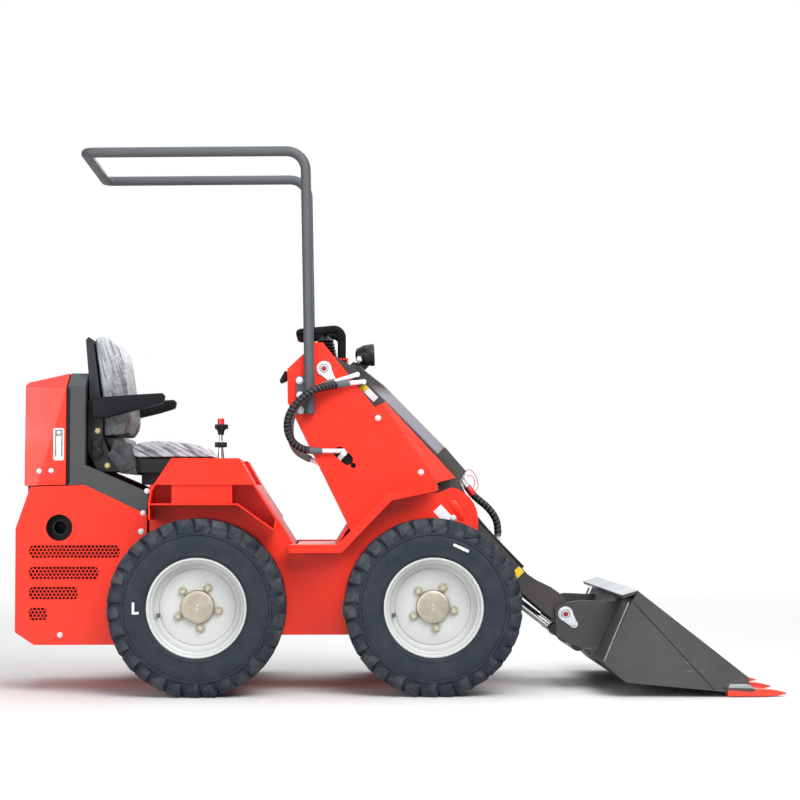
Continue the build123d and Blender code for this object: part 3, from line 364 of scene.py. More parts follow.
# finish: the frame's nodes that have it
NODE_FINISHES = {
    "red_powder_coat": "main_frame tower_side_right tower_side_left tower_back rear_cover vent_screens hood"
                       " console_right console_left",
    "floor_tread_plate": "floor_plate",
    "guard_powder_coat": "seat_guard",
    "hoop_powder_coat": "roll_hoop",
    "facet_paint": "arm_cover",
    "arm_paint": "lift_arm",
    "bucket_paint": "bucket_carrier bucket_shell cutting_edge",
    "tooth_paint": "bucket_teeth",
    "cast_iron_paint": "engine_block hub_motors",
    "black_enamel_and_painted_shade": "exhaust_pipe seat_pan seat_hinges lift_barrels tilt_barrel",
    "zinc_plate": "hood_latches arm_fittings front_coupler tower_pins bucket_pins tower_fitting",
    "hard_chrome_rod": "lift_rods tilt_rod",
    "black_moulded_plastic": "side_lever control_levers work_lamp",
    "shell_skin": "seat_back_shell",
    "armrest_skin": "armrest_right armrest_left",
    "seat_vinyl_painted_film_reflection": "seat_cushion",
    "back_vinyl_painted_film_reflection": "seat_back_cushion",
    "belt_webbing": "seat_belt",
    "grip_foam": "grab_bar",
    "hose_rubber": "tower_hose return_hose front_hose",
    "tyre_sidewall_rubber": "tyre_front_right tyre_front_left tyre_rear_right tyre_rear_left",
    "rim_enamel": "rim_front_right rim_front_left rim_rear_right rim_rear_left",
}


# ---- shapes

def mm(x, y, z):
    return Vector((x * MM, y * MM, z * MM))


def arm(distance, side=0.0):
    """Point in the lift arm's axes, in millimetres: along it from the pivot, and above its line."""
    dx, dz = BUCKET_PIN[0] - PIVOT[0], BUCKET_PIN[1] - PIVOT[1]
    ux, uz = dx / math.hypot(dx, dz), dz / math.hypot(dx, dz)
    return (PIVOT[0] + ux * distance - uz * side, PIVOT[1] + uz * distance + ux * side)


def box(x0, x1, z0, z1):
    """Outline of an upright rectangle."""
    return [(x0, z0), (x1, z0), (x1, z1), (x0, z1)]


def placed(name, data, body):
    """Put a mesh or curve in the scene as a piece that rides on a body of the frame."""
    piece = bpy.data.objects.new(name, data)
    bpy.context.scene.collection.objects.link(piece)
    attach(piece, body)
    return piece


def finished(name, work, materials, body, sharp=35.0, stands_for=None):
    """Turn a bmesh into a piece, which may stand for one of the frame's nodes."""
    bmesh.ops.recalc_face_normals(work, faces=work.faces[:])
    mesh = bpy.data.meshes.new(name)
    work.to_mesh(mesh)
    work.free()
    for material in materials:
        mesh.materials.append(bpy.data.materials[material])
    mesh.shade_smooth()
    mesh.set_sharp_from_angle(angle=math.radians(sharp))
    piece = placed(name, mesh, body)
    if stands_for:
        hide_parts(stands_for)
    return piece


@contextmanager
def painted(work, index):
    """Faces made inside it get one of the piece's materials."""
    before = set(work.faces)
    yield
    for face in work.faces:
        if face not in before:
            face.material_index = index


def poured(work, part):
    """Add one bmesh to another and free it."""
    mesh = bpy.data.meshes.new("part")
    part.to_mesh(mesh)
    part.free()
    work.from_mesh(mesh)
    bpy.data.meshes.remove(mesh)


def rounded(work, edges, radius, segments=2):
    """Round edges, by a radius in millimetres."""
    bmesh.ops.bevel(work, geom=edges, offset=radius * MM, offset_type="OFFSET", segments=segments,
                    profile=0.5, affect="EDGES", clamp_overlap=True, material=-1)


def thick(work, corners, way):
    """Face through corners made thick; gives back the corners of both its sides."""
    corners = [work.verts.new(corner) for corner in corners]
    made = bmesh.ops.extrude_face_region(work, geom=[work.faces.new(corners)])
    moved = [part for part in made["geom"] if isinstance(part, bmesh.types.BMVert)]
    bmesh.ops.translate(work, verts=moved, vec=way)
    return corners + moved


def slab(work, outline, near, far, rounding=0.0, segments=2):
    """Side-view outline of (x, z) made thick between two y values, its edges rounded; all in millimetres."""
    corners = thick(work, [mm(x, near, z) for x, z in outline], mm(0, far - near, 0))
    if rounding:
        rounded(work, list({edge for vert in corners for edge in vert.link_edges}), rounding, segments)


def both(work, outline, near, far, rounding=0.0, segments=2):
    """The same slab on the loader's right and left."""
    for side in (-1, 1):
        slab(work, outline, side * near, side * far, rounding, segments)


def turned(work, profile, base, axis, steps=40):
    """Turned part: profile of (radius, height) in millimetres around an axis through base."""
    axis = Vector(axis).normalized()
    out = axis.orthogonal().normalized()
    points = [work.verts.new(base + out * radius * MM + axis * height * MM) for radius, height in profile]
    edges = [work.edges.new(pair) for pair in zip(points, points[1:])]
    bmesh.ops.spin(work, geom=points + edges, cent=base, axis=axis, angle=math.tau, steps=steps,
                   use_merge=True)
    bmesh.ops.remove_doubles(work, verts=work.verts[:], dist=1e-6)


def disc(work, low, high, depth, sides, matrix):
    """Capped cone or cylinder: radius at each end and depth in millimetres."""
    return bmesh.ops.create_cone(work, cap_ends=True, cap_tris=False, segments=sides, radius1=low * MM,
                                 radius2=high * MM, depth=depth * MM, matrix=matrix)["verts"]


def bolt(work, centre, axis, across, height=None):
    """Hexagon head with its washer, standing on centre and facing along axis."""
    height = height or across * 0.55
    place = Matrix.Translation(centre) @ Vector(axis).to_track_quat("Z", "Y").to_matrix().to_4x4()
    # washer, head and the chamfer on the head: radius below, radius above, thickness, sides
    washer, head, start = across * 0.14, height * 0.75, 0.0
    for low, high, depth, sides in ((0.74, 0.74, washer, 20), (0.577, 0.577, head, 6),
                                    (0.577, 0.48, height - head, 6)):
        disc(work, across * low, across * high, depth, sides,
             place @ Matrix.Translation((0, 0, (start + depth / 2) * MM)))
        start += depth


def round_wire(name, points, radius, material, body):
    """Wire or thin pipe along a smooth line through a few given points in millimetres."""
    curve = bpy.data.curves.new(name, "CURVE")
    curve.dimensions = "3D"
    curve.bevel_depth = radius * MM
    curve.bevel_resolution = 3
    curve.resolution_u = 10
    line = curve.splines.new("NURBS")
    line.points.add(len(points) - 1)
    for point, place in zip(line.points, points):
        point.co = (*mm(*place), 1.0)
    line.order_u = 3
    line.use_endpoint_u = True
    curve.use_fill_caps = True
    curve.materials.append(bpy.data.materials[material])
    return placed(name, curve, body)


# ---- operators

class LOADER_OT_paint_frame(bpy.types.Operator):
    """Make the finishes and give each piece of the frame its own"""
    bl_idname = "loader.paint_frame"
    bl_label = "Paint the frame"

    def execute(self, context):
        make_materials()
        for material, names in NODE_FINISHES.items():
            for name in names.split():
                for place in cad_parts[name].material_slots:
                    place.material = bpy.data.materials[material]
        return {"FINISHED"}


# radius, distance outwards from the tyre's middle plane, on its outer half
SIDEWALL = [
    (163.4, 92), (164, 97), (169, 100), (171, 103.5), (175, 104.5), (177, 103), (180, 103), (200, 106),
    (222, 107.5), (234.5, 105), (237, 109), (243, 108.6), (245, 103.5), (256, 101), (265, 96), (271, 84)]
# lug outline: distance from the middle plane, radius; then thickness at the top and place in the pitch
LUGS = [
    ([(7, 262), (7, 288), (60, 290), (95, 290), (107, 268), (109.5, 247), (104, 241), (90, 250)], 51, 0.0),
    ([(56, 262), (56, 288), (95, 290), (106, 270), (108.5, 254), (102, 249), (88, 252)], 45, 0.5)]
# lugs turn about a point LUG_MIDDLE out, end at LUG_REACH, and their flanks lean out below LUG_CROWN
LUG_SKEW, LUG_MIDDLE, LUG_REACH = 24, 55, 109
LUG_CROWN, LUG_LEAN, LUG_ROUNDING = 288, 5.0, 2
# factory paint marks on the right-hand sidewalls: angle, radius, length and width of each bar
PAINT_MARKS = {"front": [(65.6, 213, 54, 9)], "rear": [(180, 203, 38, 8), (184.6, 193, 8, 15)]}
MARK_OUT, MARK_THICK = 108.2, 1.6


def four_of(form, kind, work, materials, sharp):
    """One wheel piece made about the origin, its outside towards +Y, copied to the four wheels."""
    bmesh.ops.recalc_face_normals(work, faces=work.faces[:])
    for end, x in WHEELS.items():
        for side, hand in SIDES:
            place = (Matrix.Translation(mm(x, side * TYRE_MIDDLE, AXLE_Z))
                     @ Matrix.Rotation(0.0 if side > 0 else math.pi, 4, "Z"))
            copied = work.copy()
            bmesh.ops.transform(copied, matrix=place, verts=copied.verts[:])
            finished(f"{kind}_{form}_{end}_{hand}", copied, materials, f"wheel_{end}_{hand}", sharp,
                     f"{kind}_{end}_{hand}")
    work.free()


class LOADER_OT_tyres(bpy.types.Operator):
    """Mould the four tyres with their lugs and sidewall rings"""
    bl_idname = "loader.tyres"
    bl_label = "Tyres"

    def lug(self, outline, thickness, half, angle):
        """One lug: outline across the tread, made thick, skewed, cut to the wheel and turned into place."""
        work = bmesh.new()
        thick(work, [mm(-thickness / 2, y, r) for y, r in outline], mm(thickness, 0, 0))
        rounded(work, work.edges[:], LUG_ROUNDING)
        for vert in work.verts:
            vert.co.x *= 1.0 + max(0.0, LUG_CROWN * MM - vert.co.z) * LUG_LEAN
        middle = Matrix.Translation(mm(0, LUG_MIDDLE, 0))
        skew = middle @ Matrix.Rotation(math.radians(LUG_SKEW), 4, "Z") @ middle.inverted()
        half_turn = Matrix.Rotation(math.pi if half < 0 else 0.0, 4, "Z")
        bmesh.ops.transform(work, matrix=half_turn @ skew, verts=work.verts[:])
        for vert in work.verts:
            share = min(1.0, AXLE_Z * MM / math.hypot(vert.co.x, vert.co.z))
            vert.co.x *= share
            vert.co.z *= share
            # cut flush with the sidewall, so that the lugs clear the body beside them
            vert.co.y = max(-LUG_REACH * MM, min(LUG_REACH * MM, vert.co.y))
        bmesh.ops.rotate(work, cent=(0, 0, 0), matrix=Matrix.Rotation(angle, 3, "Y"), verts=work.verts[:])
        return work

    def execute(self, context):
        count = sizes().lug_count
        tyre = bmesh.new()
        profile = SIDEWALL + [(r, -y) for r, y in SIDEWALL[::-1]] + SIDEWALL[:1]
        turned(tyre, profile, Vector((0, 0, 0)), (0, 1, 0), 90)
        with painted(tyre, 1):
            for outline, thickness, shift in LUGS:
                for half in (-1, 1):
                    turn = math.tau / count * (shift + (0.5 if half > 0 else 0.0))
                    row = self.lug(outline, thickness, half, turn)
                    bmesh.ops.spin(row, geom=row.verts[:] + row.edges[:] + row.faces[:], cent=(0, 0, 0),
                                   axis=(0, 1, 0), angle=math.tau * (count - 1) / count, steps=count - 1,
                                   use_duplicate=True)
                    poured(tyre, row)
        four_of("moulded", "tyre", tyre, ["tyre_sidewall_rubber", "tyre_tread_rubber"], 32)
        for end, bars in PAINT_MARKS.items():
            work = bmesh.new()
            for angle, radius, length, width in bars:
                middle = Matrix.Translation(mm(WHEELS[end], -TYRE_MIDDLE - MARK_OUT, AXLE_Z))
                turn = Matrix.Rotation(math.radians(-angle), 4, "Y") @ Matrix.Translation(mm(radius, 0, 0))
                size = Matrix.Diagonal((*mm(width, MARK_THICK, length), 1.0))
                bmesh.ops.create_cube(work, size=1.0, matrix=middle @ turn @ size)
            finished(f"paint_mark_{end}", work, ["white_paint_mark"], f"wheel_{end}_right")
        return {"FINISHED"}


# turned shapes of the wheel: radius, distance outwards from its middle plane
RIM = [
    (163, 84), (163.4, 93), (162, 97), (158, 98), (155, 96), (153, 88), (151.5, 80), (149, 76), (146, 74.5),
    (144, 70), (142, 52), (139, 36), (134, 28), (129, 25), (127, 23), (125, 23), (123.5, 26), (121, 27),
    (56, 27), (54, 25), (54, 12), (126, 12), (136, 20), (139, -70), (153, -78), (157, -95), (163, -96),
    (163, -90), (160, -70), (158, 0), (160, 70), (163, 84)]
HUB_CAP = [(0, 47), (40, 47), (50, 46.5), (53, 45), (54.6, 42), (54.6, 20)]
NUT_SEAT = [(0, 30), (14.5, 30), (15.5, 29), (15.5, 26)]
STUD = [(0, 47.5), (5.5, 47.5), (7, 46), (7, 40)]
DIMPLE = [(0, 47.6), (3.4, 47.6), (4, 46)]
VALVE = [(0, 56), (3.5, 56), (4.5, 54), (4.5, 44), (3.6, 43), (3.6, 36), (6.5, 32), (7.5, 20)]
NUTS, NUT_CIRCLE, NUT_ACROSS, NUT_HEIGHT, NUT_OUT = 5, 70, 20, 13, 29.4
VALVE_CIRCLE = 131
# turns from the front wheel's axis, in degrees, as seen on the left side
FIRST_NUT, VALVE_TURN = 118.4, -12


class LOADER_OT_rims(bpy.types.Operator):
    """Press the four rims and add hub caps, nuts and valves"""
    bl_idname = "loader.rims"
    bl_label = "Rims"

    def spot(self, radius, turn):
        turn = math.radians(turn)
        return mm(radius * math.cos(turn), 0, radius * math.sin(turn))

    def execute(self, context):
        out, centre = (0, 1, 0), Vector((0, 0, 0))
        rim = bmesh.new()
        turned(rim, RIM, centre, out, 96)
        with painted(rim, 1):
            turned(rim, HUB_CAP, centre, out, 56)
        for index in range(NUTS):
            spot = self.spot(NUT_CIRCLE, FIRST_NUT + 360 / NUTS * index)
            with painted(rim, 2):
                turned(rim, NUT_SEAT, spot, out, 24)
                bolt(rim, spot + mm(0, NUT_OUT, 0), out, NUT_ACROSS, NUT_HEIGHT)
            with painted(rim, 3):
                turned(rim, STUD, spot, out, 16)
        with painted(rim, 4):
            for z in (-7, 7):
                turned(rim, DIMPLE, mm(0, 0, z), out, 14)
        with painted(rim, 5):
            turned(rim, VALVE, self.spot(VALVE_CIRCLE, VALVE_TURN), out, 16)
        four_of("pressed", "rim", rim, ["rim_enamel", "nickel_hub_plate", "wheel_nut_plate", "stud_plate",
                                        "rim_enamel", "hose_rubber"], 30)
        return {"FINISHED"}


# slots in the rear cover: lower edge z, front end x; all start at VENT_REAR_X
VENTS = [(446, -921), (375, -991), (308, -1059), (238.5, -1160)]
VENT_REAR_X = -1221
VENT_HEIGHT = 42
VENT_ROWS = 6
# the plates' outer face behind the cover's, and their thickness in metres
VENT_INSET, VENT_SHEET = 4.2, 0.0022


class LOADER_OT_vents(bpy.types.Operator):
    """Punch the staggered holes of the vent plates"""
    bl_idname = "loader.vents"
    bl_label = "Vent plates"

    def plate(self, work, low, front, y):
        """Sheet of six-sided cells, holed across the slot and plain round its edges behind the cover."""
        pitch, hole = sizes().hole_pitch / MM, sizes().hole_across / MM
        row_step = pitch * math.sqrt(3) / 2
        open_cells, first_row = [], low + VENT_HEIGHT / 2 - (VENT_ROWS - 1) / 2 * row_step
        for row in range(VENT_ROWS):
            for column in range(int((front - VENT_REAR_X) / pitch) + 3):
                x = VENT_REAR_X + (column - 0.5 + 0.5 * (row % 2)) * pitch
                place = (Matrix.Translation(mm(x, y, first_row + row * row_step))
                         @ Matrix.Rotation(math.pi / 2, 4, "X"))
                made = bmesh.ops.create_circle(work, cap_ends=True, segments=6, matrix=place,
                                               radius=pitch / math.sqrt(3) * MM)
                if 0 < row < VENT_ROWS - 1 and x < front + 2:
                    open_cells.append(made["verts"][0].link_faces[0])
        bmesh.ops.inset_individual(work, faces=open_cells, thickness=(pitch - hole) / 2 * MM, depth=0.0)
        bmesh.ops.delete(work, geom=open_cells, context="FACES_ONLY")
        bmesh.ops.remove_doubles(work, verts=work.verts[:], dist=2e-5)
        for at, normal in ((mm(VENT_REAR_X - 6, 0, 0), (-1, 0, 0)), (mm(front + 8, 0, 0), (1, 0, 0)),
                           (mm(0, 0, low - 6), (0, 0, -1)), (mm(0, 0, low + VENT_HEIGHT + 6), UP)):
            bmesh.ops.bisect_plane(work, geom=work.verts[:] + work.edges[:] + work.faces[:], dist=1e-7,
                                   plane_co=at, plane_no=normal, clear_outer=True)

    def execute(self, context):
        whole = bmesh.new()
        for side in (-1, 1):
            for low, front in VENTS:
                work = bmesh.new()
                self.plate(work, low, front, side * (BODY_SIDE - VENT_INSET))
                bmesh.ops.recalc_face_normals(work, faces=work.faces[:])
                outward = work.faces[:][0].normal.y * side > 0
                bmesh.ops.solidify(work, geom=work.faces[:], thickness=VENT_SHEET if outward else -VENT_SHEET)
                poured(whole, work)
        finished("vent_plates_punched", whole, ["red_powder_coat"], "chassis",
                 stands_for="vent_screens")
        return {"FINISHED"}


# side view of the hood: foot from rear to front with the fold's lower end, then the tops of the side
HOOD_SIDE = [(-1239.5, 686.5), (-1196, 688), (-1101, 690.5), (-1101, 1017), (-1239.5, 1022)]
# ridge over the front and the rear end: x, height, half width
HOOD_RIDGE = [(-1101, 1068, 200), (-1239.5, 1035, 215)]
# the panel behind the fold leans in by this much at its top and at its foot
HOOD_LEAN = (23, 7)
HOOD_SHEET, HOOD_ROUNDING = 3, 2.2
# hinge: axis x and z, radius and length of a knuckle, and where the knuckles are
HOOD_HINGE, HOOD_KNUCKLE, HOOD_KNUCKLES = (-1234, 688.5), (6.5, 58.8), (-190, 190)
# black strip on the guard's edge (painted shade of the gap to the hood), lip under the hood, black sheet
# behind the hose hole (painted shade in the hole): outline, two faces, rounding
SEALS_AND_SHADE_SHEETS = [(box(-1098.4, -1088.5, 694, 1014), 262, 301.5, 0.8), (box(-1228, -1106, 660, 697), 283, 285),
         (box(-215, -118, 738, 842), 286, 288)]
EXHAUST = (-1122, 0, 547)
EXHAUST_SEAL = [(27, 255), (58, 255), (58, 257), (27, 257), (27, 255)]
BAFFLE = [(-1224, 228), (-1142, 228), (-904, 440), (-904, 494), (-1224, 494)]


class LOADER_OT_hood(bpy.types.Operator):
    """Fold the hood's sheet and add the seals and the black painted-shade sheets around it"""
    bl_idname = "loader.hood"
    bl_label = "Hood"

    def execute(self, context):
        work = bmesh.new()
        slab(work, HOOD_SIDE, -BODY_SIDE, BODY_SIDE)
        at = {(round(v.co.x / MM, 1), round(v.co.z / MM, 1), v.co.y > 0): v for v in work.verts}
        corners = [[at[(x, z, left)] for x, z in HOOD_SIDE] for left in (False, True)]
        for side in corners:
            bmesh.ops.connect_verts(work, verts=[side[1], side[3]])
        top = next(f for f in work.faces if {side[i] for side in corners for i in (3, 4)} == set(f.verts))
        made = bmesh.ops.extrude_face_region(work, geom=[top])
        middle = (HOOD_RIDGE[0][0] + HOOD_RIDGE[1][0]) / 2 * MM
        for vert in [part for part in made["geom"] if isinstance(part, bmesh.types.BMVert)]:
            x, z, half = HOOD_RIDGE[0] if vert.co.x > middle else HOOD_RIDGE[1]
            vert.co = mm(x, math.copysign(half, vert.co.y), z)
        if top.is_valid:
            bmesh.ops.delete(work, geom=[top], context="FACES_ONLY")
        for side in corners:
            for vert, lean in ((side[4], HOOD_LEAN[0]), (side[0], HOOD_LEAN[1])):
                vert.co.y -= math.copysign(lean * MM, vert.co.y)
        feet = {side[i] for side in corners for i in (0, 1, 2)}
        bmesh.ops.delete(work, geom=[f for f in work.faces if set(f.verts) <= feet], context="FACES_ONLY")
        folds = [e for e in work.edges if len(e.link_faces) == 2 and e.calc_face_angle() > 0.02]
        rounded(work, folds, HOOD_ROUNDING)
        bmesh.ops.recalc_face_normals(work, faces=work.faces[:])
        back = min(work.faces, key=lambda f: f.calc_center_median().x)
        sheet = HOOD_SHEET * MM if back.normal.x < 0 else -HOOD_SHEET * MM
        bmesh.ops.solidify(work, geom=work.faces[:], thickness=sheet)
        (x, z), (radius, length) = HOOD_HINGE, HOOD_KNUCKLE
        for y in HOOD_KNUCKLES:
            disc(work, radius, radius, length, 20,
                 Matrix.Translation(mm(x, y, z)) @ Matrix.Rotation(math.pi / 2, 4, "X"))
        finished("hood_folded", work, ["red_powder_coat"], "hood_body", 4, "hood")

        work = bmesh.new()
        for seal in SEALS_AND_SHADE_SHEETS:
            both(work, *seal)
        turned(work, EXHAUST_SEAL, mm(*EXHAUST), (0, -1, 0), 40)
        finished("body_seals_and_painted_shade_sheets", work, ["black_rubber_and_painted_shade"], "chassis")
        work = bmesh.new()
        # red inner sheet behind the vents, darkened as painted shade
        both(work, BAFFLE, 268, 269.5)
        finished("vent_baffles", work, ["dark_red_painted_shade"], "chassis")
        return {"FINISHED"}


# bolts: piece, finish, body; then x, distance from the centre plane, z, width as a share of the usual bolt
BOLTS = {("body_bolts", "zinc_plate", "chassis"):
         [(-1117, 300, 190, 1.1), (-849, 300, 534, 1.2), (-831, 300, 669, 1.1), (-843, 300, 596, 1.1),
          (-58, 306, 914, 1.2), (86, 306, 732, 1.2), (195, 300, 579, 1.2), (-321, 319, 1039, 1.5),
          (-319, 319, 989, 1.5), (-318, 319, 939, 1.5)],
         ("hood_bolts", "zinc_plate", "hood_body"): [(-1190, 298.6, 735.5, 1.0), (-1150, 300, 737, 1.0)],
         ("recliner_bolts", "yellow_zinc_plate", "chassis"): [(-1002, 241, 872, 1.1), (-969, 241, 755, 1.1)]}


class LOADER_OT_bolts(bpy.types.Operator):
    """Fit the bolts of the body, tower, hood, hoop and seat"""
    bl_idname = "loader.bolts"
    bl_label = "Bolts"

    def execute(self, context):
        across = sizes().bolt_across / MM
        for (name, finish, body), table in BOLTS.items():
            work = bmesh.new()
            for x, reach, z, share in table:
                for side in (-1, 1):
                    bolt(work, mm(x, side * reach, z), (0, side, 0), across * share)
            finished(name, work, [finish], body)
        return {"FINISHED"}


LATCH_FRAME = (box(-1143, -1138, 771, 879), box(-1112, -1107, 771, 879), box(-1143, -1107, 771, 776),
               box(-1143, -1107, 874, 879))
LATCH_HANDLE = [(-1133, 777), (-1117, 777), (-1117, 850), (-1120, 854), (-1130, 854), (-1133, 850)]
LATCH_CATCH = [(0, 6.4), (5, 6.2), (6.5, 5), (6.5, 1)]


class LOADER_OT_latches(bpy.types.Operator):
    """Sink the steel latches into the hood's sides"""
    bl_idname = "loader.latches"
    bl_label = "Hood latches"

    def execute(self, context):
        work = bmesh.new()
        for bar in LATCH_FRAME:
            both(work, bar, BODY_SIDE, BODY_SIDE + 4, 1.2)
        with painted(work, 1):
            both(work, box(-1139, -1111, 775, 875), BODY_SIDE, BODY_SIDE + 1.2)
        # handle hinged at its foot, and the round catch over it
        both(work, LATCH_HANDLE, BODY_SIDE + 1, BODY_SIDE + 4.5, 1.5)
        both(work, box(-1137, -1113, 776, 784), BODY_SIDE + 1, BODY_SIDE + 6, 1.5)
        for side in (-1, 1):
            turned(work, LATCH_CATCH, mm(-1125, side * BODY_SIDE, 864), (0, side, 0), 20)
        finished("latches_pressed", work, ["zinc_plate", "bare_steel_and_painted_groove_shade"], "hood_body",
                 stands_for="hood_latches")
        return {"FINISHED"}


SEAT_LINE = [
    (-900, 784), (-904, 801), (-886, 820), (-796, 825), (-701, 818), (-628, 802), (-610, 788), (-616, 784)]
BACK_LINE = [
    (-1017, 1180), (-1006, 1194), (-985, 1199), (-955, 1180), (-936, 1110), (-924, 1030), (-911, 940),
    (-907, 900), (-915, 852), (-984, 852), (-991, 985)]
# the rest in metres: voxels, depth of the film's creases, top of the pan, bend of the back's shell
VOXEL, CREASE = 0.0065, 0.0016
PAN_TOP = 0.781
SHELL_BEND_X, SHELL_BEND_Z = -0.995, 0.985
# how far the shell leans back over its height, under and over the bend
SHELL_LEAN = (-0.005 / 0.135, -0.026 / 0.195)
SHELL_SHEET = 0.010


def held(distance, fade):
    """How free a point of a cushion is, from 0 where it rests to 1 at a fade's distance from there."""
    return min(1.0, max(0.0, distance / fade))


def off_pan(co):
    return held(co.z - PAN_TOP, 0.012)


def off_shell(co):
    """The same for the back cushion, whose shell is bent at half its height."""
    x = SHELL_BEND_X + (co.z - SHELL_BEND_Z) * SHELL_LEAN[co.z > SHELL_BEND_Z]
    return held(co.x - x - SHELL_SHEET, 0.02)


class LOADER_OT_seat(bpy.types.Operator):
    """Swell the seat's two cushions under their film"""
    bl_idname = "loader.seat"
    bl_label = "Seat cushions"

    def cushion(self, name, outline, half, rounding, rest, vinyl):
        work = bmesh.new()
        slab(work, outline, -half, half, rounding, 4)
        piece = finished(name, work, [vinyl], "chassis", 80)
        voxels = piece.modifiers.new("skin", "REMESH")
        voxels.mode = "VOXEL"
        voxels.voxel_size = VOXEL
        voxels.use_smooth_shade = True
        self.settle(piece)
        self.swell(piece, sizes().seat_crown, rest)
        refine = piece.modifiers.new("round", "SUBSURF")
        refine.levels = refine.render_levels = 1
        self.settle(piece)
        start = [(vert.co.copy(), vert.normal.copy()) for vert in piece.data.vertices]
        for vert, (where, normal) in zip(piece.data.vertices, start):
            # creases of the loose film run across the cushion and fade out on its flat side
            x, y, z = where
            fold = noise.noise(Vector((x * 16 + z * 20, y * 9, z * 60 - x * 45)))
            depth = (1.0 - abs(fold) * 2.2) * CREASE * (0.25 + 0.75 * abs(normal.y)) * rest(where)
            vert.co = where + normal * depth
        piece.data.update()
        return piece

    def settle(self, piece):
        """Apply the piece's modifiers to its mesh."""
        shaped = piece.evaluated_get(bpy.context.evaluated_depsgraph_get())
        mesh = bpy.data.meshes.new_from_object(shaped)
        piece.modifiers.clear()
        piece.data = mesh
        mesh.shade_smooth()

    def swell(self, piece, cap, rest):
        """Let the pad swell under its own pressure, no point further than cap, less where it rests."""
        start = [vert.co.copy() for vert in piece.data.vertices]
        cloth = piece.modifiers.new("swell", "CLOTH")
        cloth.settings.use_pressure = True
        cloth.settings.uniform_pressure_force = 4.0
        cloth.settings.effector_weights.gravity = 0.0
        for step in range(1, 21):
            bpy.context.scene.frame_set(step)
        shaped = piece.evaluated_get(bpy.context.evaluated_depsgraph_get())
        ends = [vert.co.copy() for vert in shaped.data.vertices]
        piece.modifiers.clear()
        bpy.context.scene.frame_set(1)
        for vert, first, last in zip(piece.data.vertices, start, ends):
            move = last - first
            if move.length > cap:
                move = move.normalized() * cap
            vert.co = first + move * rest(first)

    def execute(self, context):
        seat = self.cushion("seat_cushion_filmed", SEAT_LINE, 224, 15, off_pan, "seat_vinyl_painted_film_reflection")
        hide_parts("seat_cushion")
        back = self.cushion("back_cushion_filmed", BACK_LINE, 216, 14, off_shell, "back_vinyl_painted_film_reflection")
        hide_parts("seat_back_cushion")
        return {"FINISHED"}


ARMREST = [
    (-1017, 981), (-1017, 921), (-1012, 916), (-975, 913), (-917, 929), (-831, 950), (-783, 965), (-777, 970),
    (-774, 990), (-782, 998), (-870, 993)]
# skirt that closes the gap between the two cushions
SKIRT = ([(-1000, 850), (-918, 850), (-900, 806), (-980, 800)], -205, 205, 4)
SEAT_SIDE = 241
# folded belt: near layer, far layer and the fold under it, with their faces, rounding and its segments
BELT = [([(-945, 842), (-887, 829), (-871, 755), (-880, 742), (-958, 806)], 241.5, 247.5, 2.6, 4),
        ([(-932, 828), (-893, 812), (-866, 722), (-923, 728)], 247.7, 251.5, 1.7, 4),
        ([(-969, 792), (-948, 812), (-880, 745), (-923, 728)], 251.7, 255.5, 1.7, 4)]
RECLINER_KNOB = [(0, 20), (6, 20), (8, 18), (12, 18), (14, 20), (18, 18), (20, 14), (20, 0)]
RECLINER = [(-1024, 836), (-990, 850), (-986, 838), (-994, 806), (-1022, 812)]


class LOADER_OT_seat_fittings(bpy.types.Operator):
    """Add armrests, the belt and the recliner's handle"""
    bl_idname = "loader.seat_fittings"
    bl_label = "Seat fittings"

    def execute(self, context):
        for side, hand in SIDES:
            work = bmesh.new()
            slab(work, ARMREST, side * 241.5, side * 291, 10, 5)
            finished(f"armrest_moulded_{hand}", work, ["armrest_skin"], "chassis", 60,
                     f"armrest_{hand}")
        work = bmesh.new()
        for layer in BELT:
            both(work, *layer)
        finished("belt_folded", work, ["belt_webbing"], "chassis", stands_for="seat_belt")
        work = bmesh.new()
        for side in (-1, 1):
            turned(work, RECLINER_KNOB, mm(-1006, side * SEAT_SIDE, 797), (0, side, 0), 32)
        both(work, RECLINER, SEAT_SIDE, SEAT_SIDE + 11, 3)
        slab(work, *SKIRT)
        finished("recliner_handles", work, ["black_moulded_plastic"], "chassis")
        return {"FINISHED"}


# radius, height over the ground
LEVER_STEM = [(0, 777), (12, 777), (11.5, 780), (8.2, 810), (8.2, 820), (5.5, 826), (5.5, 862), (0, 862)]
LEVER_CONE = [(0, 888), (20, 888), (17, 876), (11, 868), (10.4, 858), (9, 855.5), (0, 855.5)]
LEVER_BUTTON = [(0, 910.5), (9.5, 910.5), (11, 909), (11, 888), (0, 888)]
# grips with a waved rim: height, radius, thickness, waves, their depth, steps in each, rounding of the rim
LEVER_GRIPS = [(823, 19.4, 17, 20, 0.9, 6, 2.0), (883, 18, 16, 5, 6.0, 12, 6.5)]
LEVER_AT = (-582, -345, 0)


